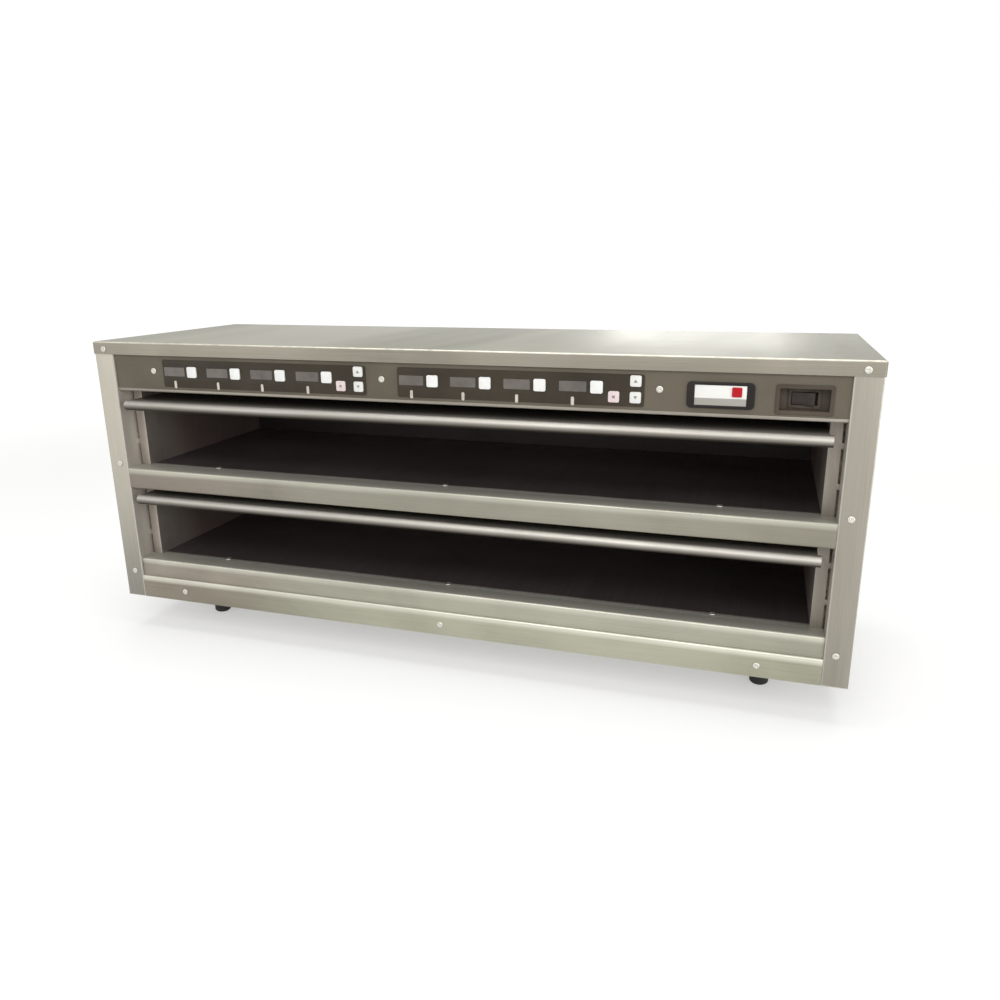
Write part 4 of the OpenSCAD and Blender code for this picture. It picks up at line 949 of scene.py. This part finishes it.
overlay_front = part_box("left_keypad")[0].y
button_white = moulded("button_white", BUTTON_DARK, BUTTON_BRIGHT, **CAP_SKIN)
for number in range(1, TIMERS + 1):
    eased(f"timer_button_{number}", f"timer_cap_{number}", button_white, CAP_EASE, cap_share)
key_white = moulded("key_white", KEY_DARK, KEY_BRIGHT, **CAP_SKIN)
stop_pink = moulded("stop_pink", STOP_DARK, STOP_BRIGHT, **CAP_SKIN)
mark_ink = moulded(
    "mark_ink", MARK_DARK, MARK_BRIGHT, MARK_GLOSS, pebble=2500, patch=300, depth=0.00001)
for side in ("left", "right"):
    for place, corners in MARKS.items():
        key = f"{side}_key_{place}"
        cap = stop_pink if place == 1 else key_white
        eased(key, f"{side}_cap_{place}", cap, CAP_EASE, cap_share)
        low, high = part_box(key)
        centre = Vector(((low.x + high.x) / 2, low.y + MARK_T / 2, (low.z + high.z) / 2))
        mark = bmesh.new()
        rim = [mark.verts.new(centre + Vector((x, 0, z)) * MARK_HALF) for x, z in corners]
        raised = bmesh.ops.extrude_face_region(mark, geom=[mark.faces.new(rim)])
        for vert in raised["geom"]:
            if isinstance(vert, bmesh.types.BMVert):
                vert.co.y -= MARK_T
        bmesh.ops.recalc_face_normals(mark, faces=mark.faces)
        mark_mesh = bpy.data.meshes.new(f"{side}_mark_{place}")
        mark.to_mesh(mark_mesh)
        mark.free()
        mark_mesh.materials.append(mark_ink)
        printed = bpy.data.objects.new(f"{side}_mark_{place}", mark_mesh)
        scene.collection.objects.link(printed)
        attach(printed, key)


# Badge: a moulded dark bezel, a plain white plate whose lower strip is grey, and a square red
# pilot lens with its lamp tube behind it.
BEZEL_EASE = 0.001
RECESS_SHARE = 0.2
BEZEL_GLOSS = (0.3, 0.45)
BADGE_EASE = 0.0002
PILOT_EASE = 0.0005
PILOT_GLOSS = (0.12, 0.25)
BEZEL_DARK = (0.011, 0.009, 0.008, 1)
BEZEL_BRIGHT = (0.022, 0.018, 0.016, 1)
PLATE_WHITE = (0.86, 0.86, 0.83, 1)
PLATE_SOFT = (0.8, 0.79, 0.75, 1)
STRIP_GREY = (0.36, 0.345, 0.31, 1)
STRIP_SHARE = 0.36
STRIP_SOFT = 0.0003
PRINT_DEPTH = 0.00001
PRINT_BUMP = 0.2
RED_DARK = (0.36, 0.003, 0.008, 1)
RED_BRIGHT = (0.52, 0.008, 0.016, 1)


def bezel_share(middle, direction):
    """The front edges of the bezel are rounder than those of its recess floor."""
    return 1 if middle.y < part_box("badge_bezel")[0].y + SAME_POINT else RECESS_SHARE


bezel_black = moulded("bezel_black", BEZEL_DARK, BEZEL_BRIGHT, BEZEL_GLOSS, Specular_IOR_Level=0.22)
eased("badge_bezel", "bezel_frame", bezel_black, BEZEL_EASE, bezel_share)

plate_low, plate_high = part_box("badge_plate")
badge_print, badge_tree, badge_shader = new_material("badge_print", Roughness=0.3)
badge_grain = place_group(badge_tree, moulded_grain, {"Pebble": 1500, "Patch": 50})
badge_white = blend_colours(badge_grain["Handling"], PLATE_SOFT, PLATE_WHITE)
strip_top = plate_low.z + STRIP_SHARE * (plate_high.z - plate_low.z)
badge_strip = span(axes_of(spot_in(badge_tree))["Z"], strip_top + STRIP_SOFT, strip_top - STRIP_SOFT)
feed(blend_colours(badge_strip, badge_white, STRIP_GREY), badge_shader.inputs["Base Color"])
roughen(badge_shader, badge_grain["Grain"], PRINT_DEPTH, PRINT_BUMP)
eased("badge_plate", "printed_plate", badge_print, BADGE_EASE)
red_lens = moulded(
    "red_lens", RED_DARK, RED_BRIGHT, PILOT_GLOSS, patch=90, depth=0.00002, Specular_IOR_Level=0.2)
eased("pilot_lens", "pilot_cap", red_lens, PILOT_EASE)


# Power switch: a black moulded pocket in the panel with a rocker switch in its floor.
# The rocker tips on an upright pin; its face is glossier than the pocket's grained walls.
POCKET_DARK = (0.055, 0.042, 0.031, 1)
POCKET_BRIGHT = (0.09, 0.071, 0.053, 1)
ROCKER_DARK = (0.02, 0.014, 0.012, 1)
ROCKER_BRIGHT = (0.045, 0.034, 0.029, 1)
POCKET_GLOSS = (0.4, 0.6)
ROCKER_GLOSS = (0.3, 0.45)
POCKET_EASE = 0.0004
HOUSING_EASE = 0.0003
ROCKER_EASE = 0.0006
pocket_black = moulded(
    "pocket_black", POCKET_DARK, POCKET_BRIGHT, POCKET_GLOSS, pebble=1200, Specular_IOR_Level=0.25)
eased("switch_pocket", "pocket_moulding", pocket_black, POCKET_EASE)
eased("switch_body", "switch_housing", pocket_black, HOUSING_EASE)
rocker_black = moulded(
    "rocker_black", ROCKER_DARK, ROCKER_BRIGHT, ROCKER_GLOSS, patch=60, Specular_IOR_Level=0.25)
eased("switch_rocker", "rocker_cap", rocker_black, ROCKER_EASE)


# Screws: low domed stainless heads with a cross recess, in the case and along the shelf plates.
# Each is driven in at its own angle, and all of them are made from one head and one shank.
HEAD_H = 0.002
SHANK_R = 0.002
RECESS_W = 0.2
RECESS_REACH = 0.62
RECESS_FADE = 0.8
RECESS_DEPTH = 0.3
SCREW_DARK = (0.4, 0.385, 0.34, 1)
SCREW_BRIGHT = (0.6, 0.585, 0.53, 1)
SCREW_WORN_SHEEN = (0.66, 0.645, 0.59, 1)
SCREW_GRAIN = (300, 300, 300)
CROWN_FULLNESS = 0.55
ROUND_STEPS = 49
RIM_STEPS = 29
SHANK_SIDES = 16
TURN_SEED = 7

screw_steel = stainless("screw_steel", SCREW_DARK, SCREW_BRIGHT, SCREW_WORN_SHEEN, SCREW_GRAIN)
screw_tree, screw_in, screw_out = geometry_tree(
    "domed_screws",
    {"Head Height": "NodeSocketFloat", "Shank Radius": "NodeSocketFloat",
     "Recess Width": "NodeSocketFloat", "Recess Depth": "NodeSocketFloat",
     "Finish": "NodeSocketMaterial"})

# A grid is wrapped round the screw's axis: its length gives the angle, its width runs from the
# crown over the rim to the middle of the flat underside.
head_grid = add_node(
    screw_tree, "GeometryNodeMeshGrid",
    {"Size X": 1, "Size Y": 1, "Vertices X": ROUND_STEPS, "Vertices Y": RIM_STEPS})
head_axes = axes_of(add_node(screw_tree, "GeometryNodeInputPosition").outputs[0])
around = math_of("MULTIPLY", math_of("ADD", head_axes["X"], 0.5), 2 * math.pi)
down = math_of("MULTIPLY", math_of("ADD", head_axes["Y"], 0.5), math.pi)
radius = math_of("SINE", down)
crown = math_of("POWER", math_of("MAXIMUM", math_of("COSINE", down), 0), CROWN_FULLNESS)
head_x = math_of("MULTIPLY", radius, math_of("COSINE", around))
head_y = math_of("MULTIPLY", radius, math_of("SINE", around))
near_arm = math_of("MINIMUM", math_of("ABSOLUTE", head_x), math_of("ABSOLUTE", head_y))
recess_width = screw_in.outputs["Recess Width"]
in_arm = span(near_arm, math_of("MULTIPLY", recess_width, 0.5), recess_width, 1, 0)
in_reach = span(radius, RECESS_REACH * RECESS_FADE, RECESS_REACH, 1, 0)
sunk = math_of("MULTIPLY", math_of("MULTIPLY", in_arm, in_reach), screw_in.outputs["Recess Depth"])
left_over = math_of("SUBTRACT", crown, math_of("MULTIPLY", sunk, crown))
height = math_of("MULTIPLY", left_over, screw_in.outputs["Head Height"])
head_point = add_node(screw_tree, "ShaderNodeCombineXYZ", {"X": head_x, "Y": head_y, "Z": height})
head_bent = add_node(
    screw_tree, "GeometryNodeSetPosition",
    {"Geometry": head_grid.outputs["Mesh"], "Position": head_point.outputs[0]})
head_closed = add_node(
    screw_tree, "GeometryNodeMergeByDistance",
    {"Geometry": head_bent.outputs[0], "Distance": SAME_POINT})
head_outward = add_node(screw_tree, "GeometryNodeFlipFaces", {"Mesh": head_closed.outputs[0]})
head_smooth = add_node(
    screw_tree, "GeometryNodeSetShadeSmooth", {"Geometry": head_outward.outputs[0]})

shank_rod = add_node(
    screw_tree, "GeometryNodeMeshCylinder",
    {"Vertices": SHANK_SIDES, "Radius": screw_in.outputs["Shank Radius"], "Depth": 1})
shank_drop = add_node(
    screw_tree, "GeometryNodeTransform",
    {"Geometry": shank_rod.outputs["Mesh"], "Translation": (0, 0, -0.5)})

facing, head_radius, shank_length = (
    add_node(screw_tree, "GeometryNodeInputNamedAttribute", {"Name": attribute}, data_type=kind)
    .outputs["Attribute"] for attribute, kind in (
        ("facing", "FLOAT_VECTOR"), ("head_radius", "FLOAT"), ("shank_length", "FLOAT")))
upright = add_node(screw_tree, "FunctionNodeAlignRotationToVector", {"Vector": facing}, axis="Z")
driven = add_node(screw_tree, "FunctionNodeRandomValue", {"Seed": TURN_SEED}, data_type="FLOAT")
feed(math.pi, next(s for s in driven.inputs if s.name == "Max" and s.type == "VALUE"))
turn = add_node(
    screw_tree, "FunctionNodeAxisAngleToRotation",
    {"Axis": (0, 0, 1), "Angle": next(s for s in driven.outputs if s.type == "VALUE")})
driven_turn = add_node(
    screw_tree, "FunctionNodeRotateRotation", {0: upright.outputs[0], 1: turn.outputs[0]},
    rotation_space="LOCAL")

both = add_node(screw_tree, "GeometryNodeJoinGeometry")
for shape, sizes in (
        (head_smooth, {"X": head_radius, "Y": head_radius, "Z": 1}),
        (shank_drop, {"X": 1, "Y": 1, "Z": shank_length})):
    scale = add_node(screw_tree, "ShaderNodeCombineXYZ", sizes)
    spots = add_node(
        screw_tree, "GeometryNodeInstanceOnPoints",
        {"Points": screw_in.outputs["Points"], "Instance": shape.outputs[0],
         "Rotation": driven_turn.outputs[0], "Scale": scale.outputs[0]})
    feed(spots.outputs["Instances"], both.inputs["Geometry"])
finished(both.outputs[0], screw_in, screw_out)


def driven_screws(node, name, direction_of):
    """Domed screws in the places of a CAD node's screws."""
    seats, ways, radii, lengths = [], [], [], []
    for low, high in separate_boxes(node):
        middle = (low + high) / 2
        way = direction_of(middle)
        size = high - low
        length = abs(size.dot(way))
        seats.append(middle + way * (length / 2 - HEAD_H))
        ways.extend(way)
        radii.append(size.x / 2)
        lengths.append(length - HEAD_H)
    piece = grow(
        name, screw_tree, seats,
        {"Head Height": HEAD_H, "Shank Radius": SHANK_R, "Recess Width": RECESS_W,
         "Recess Depth": RECESS_DEPTH, "Finish": screw_steel},
        {"facing": ("FLOAT_VECTOR", "vector", ways), "head_radius": ("FLOAT", "value", radii),
         "shank_length": ("FLOAT", "value", lengths)})
    stand_for(piece, node, screw_steel)


driven_screws("case_screws", "case_screw_heads", lambda at: Vector((0, 1 if at.y > 0 else -1, 0)))
driven_screws("shelf_screws", "shelf_screw_heads", lambda at: Vector((0, 0, 1)))
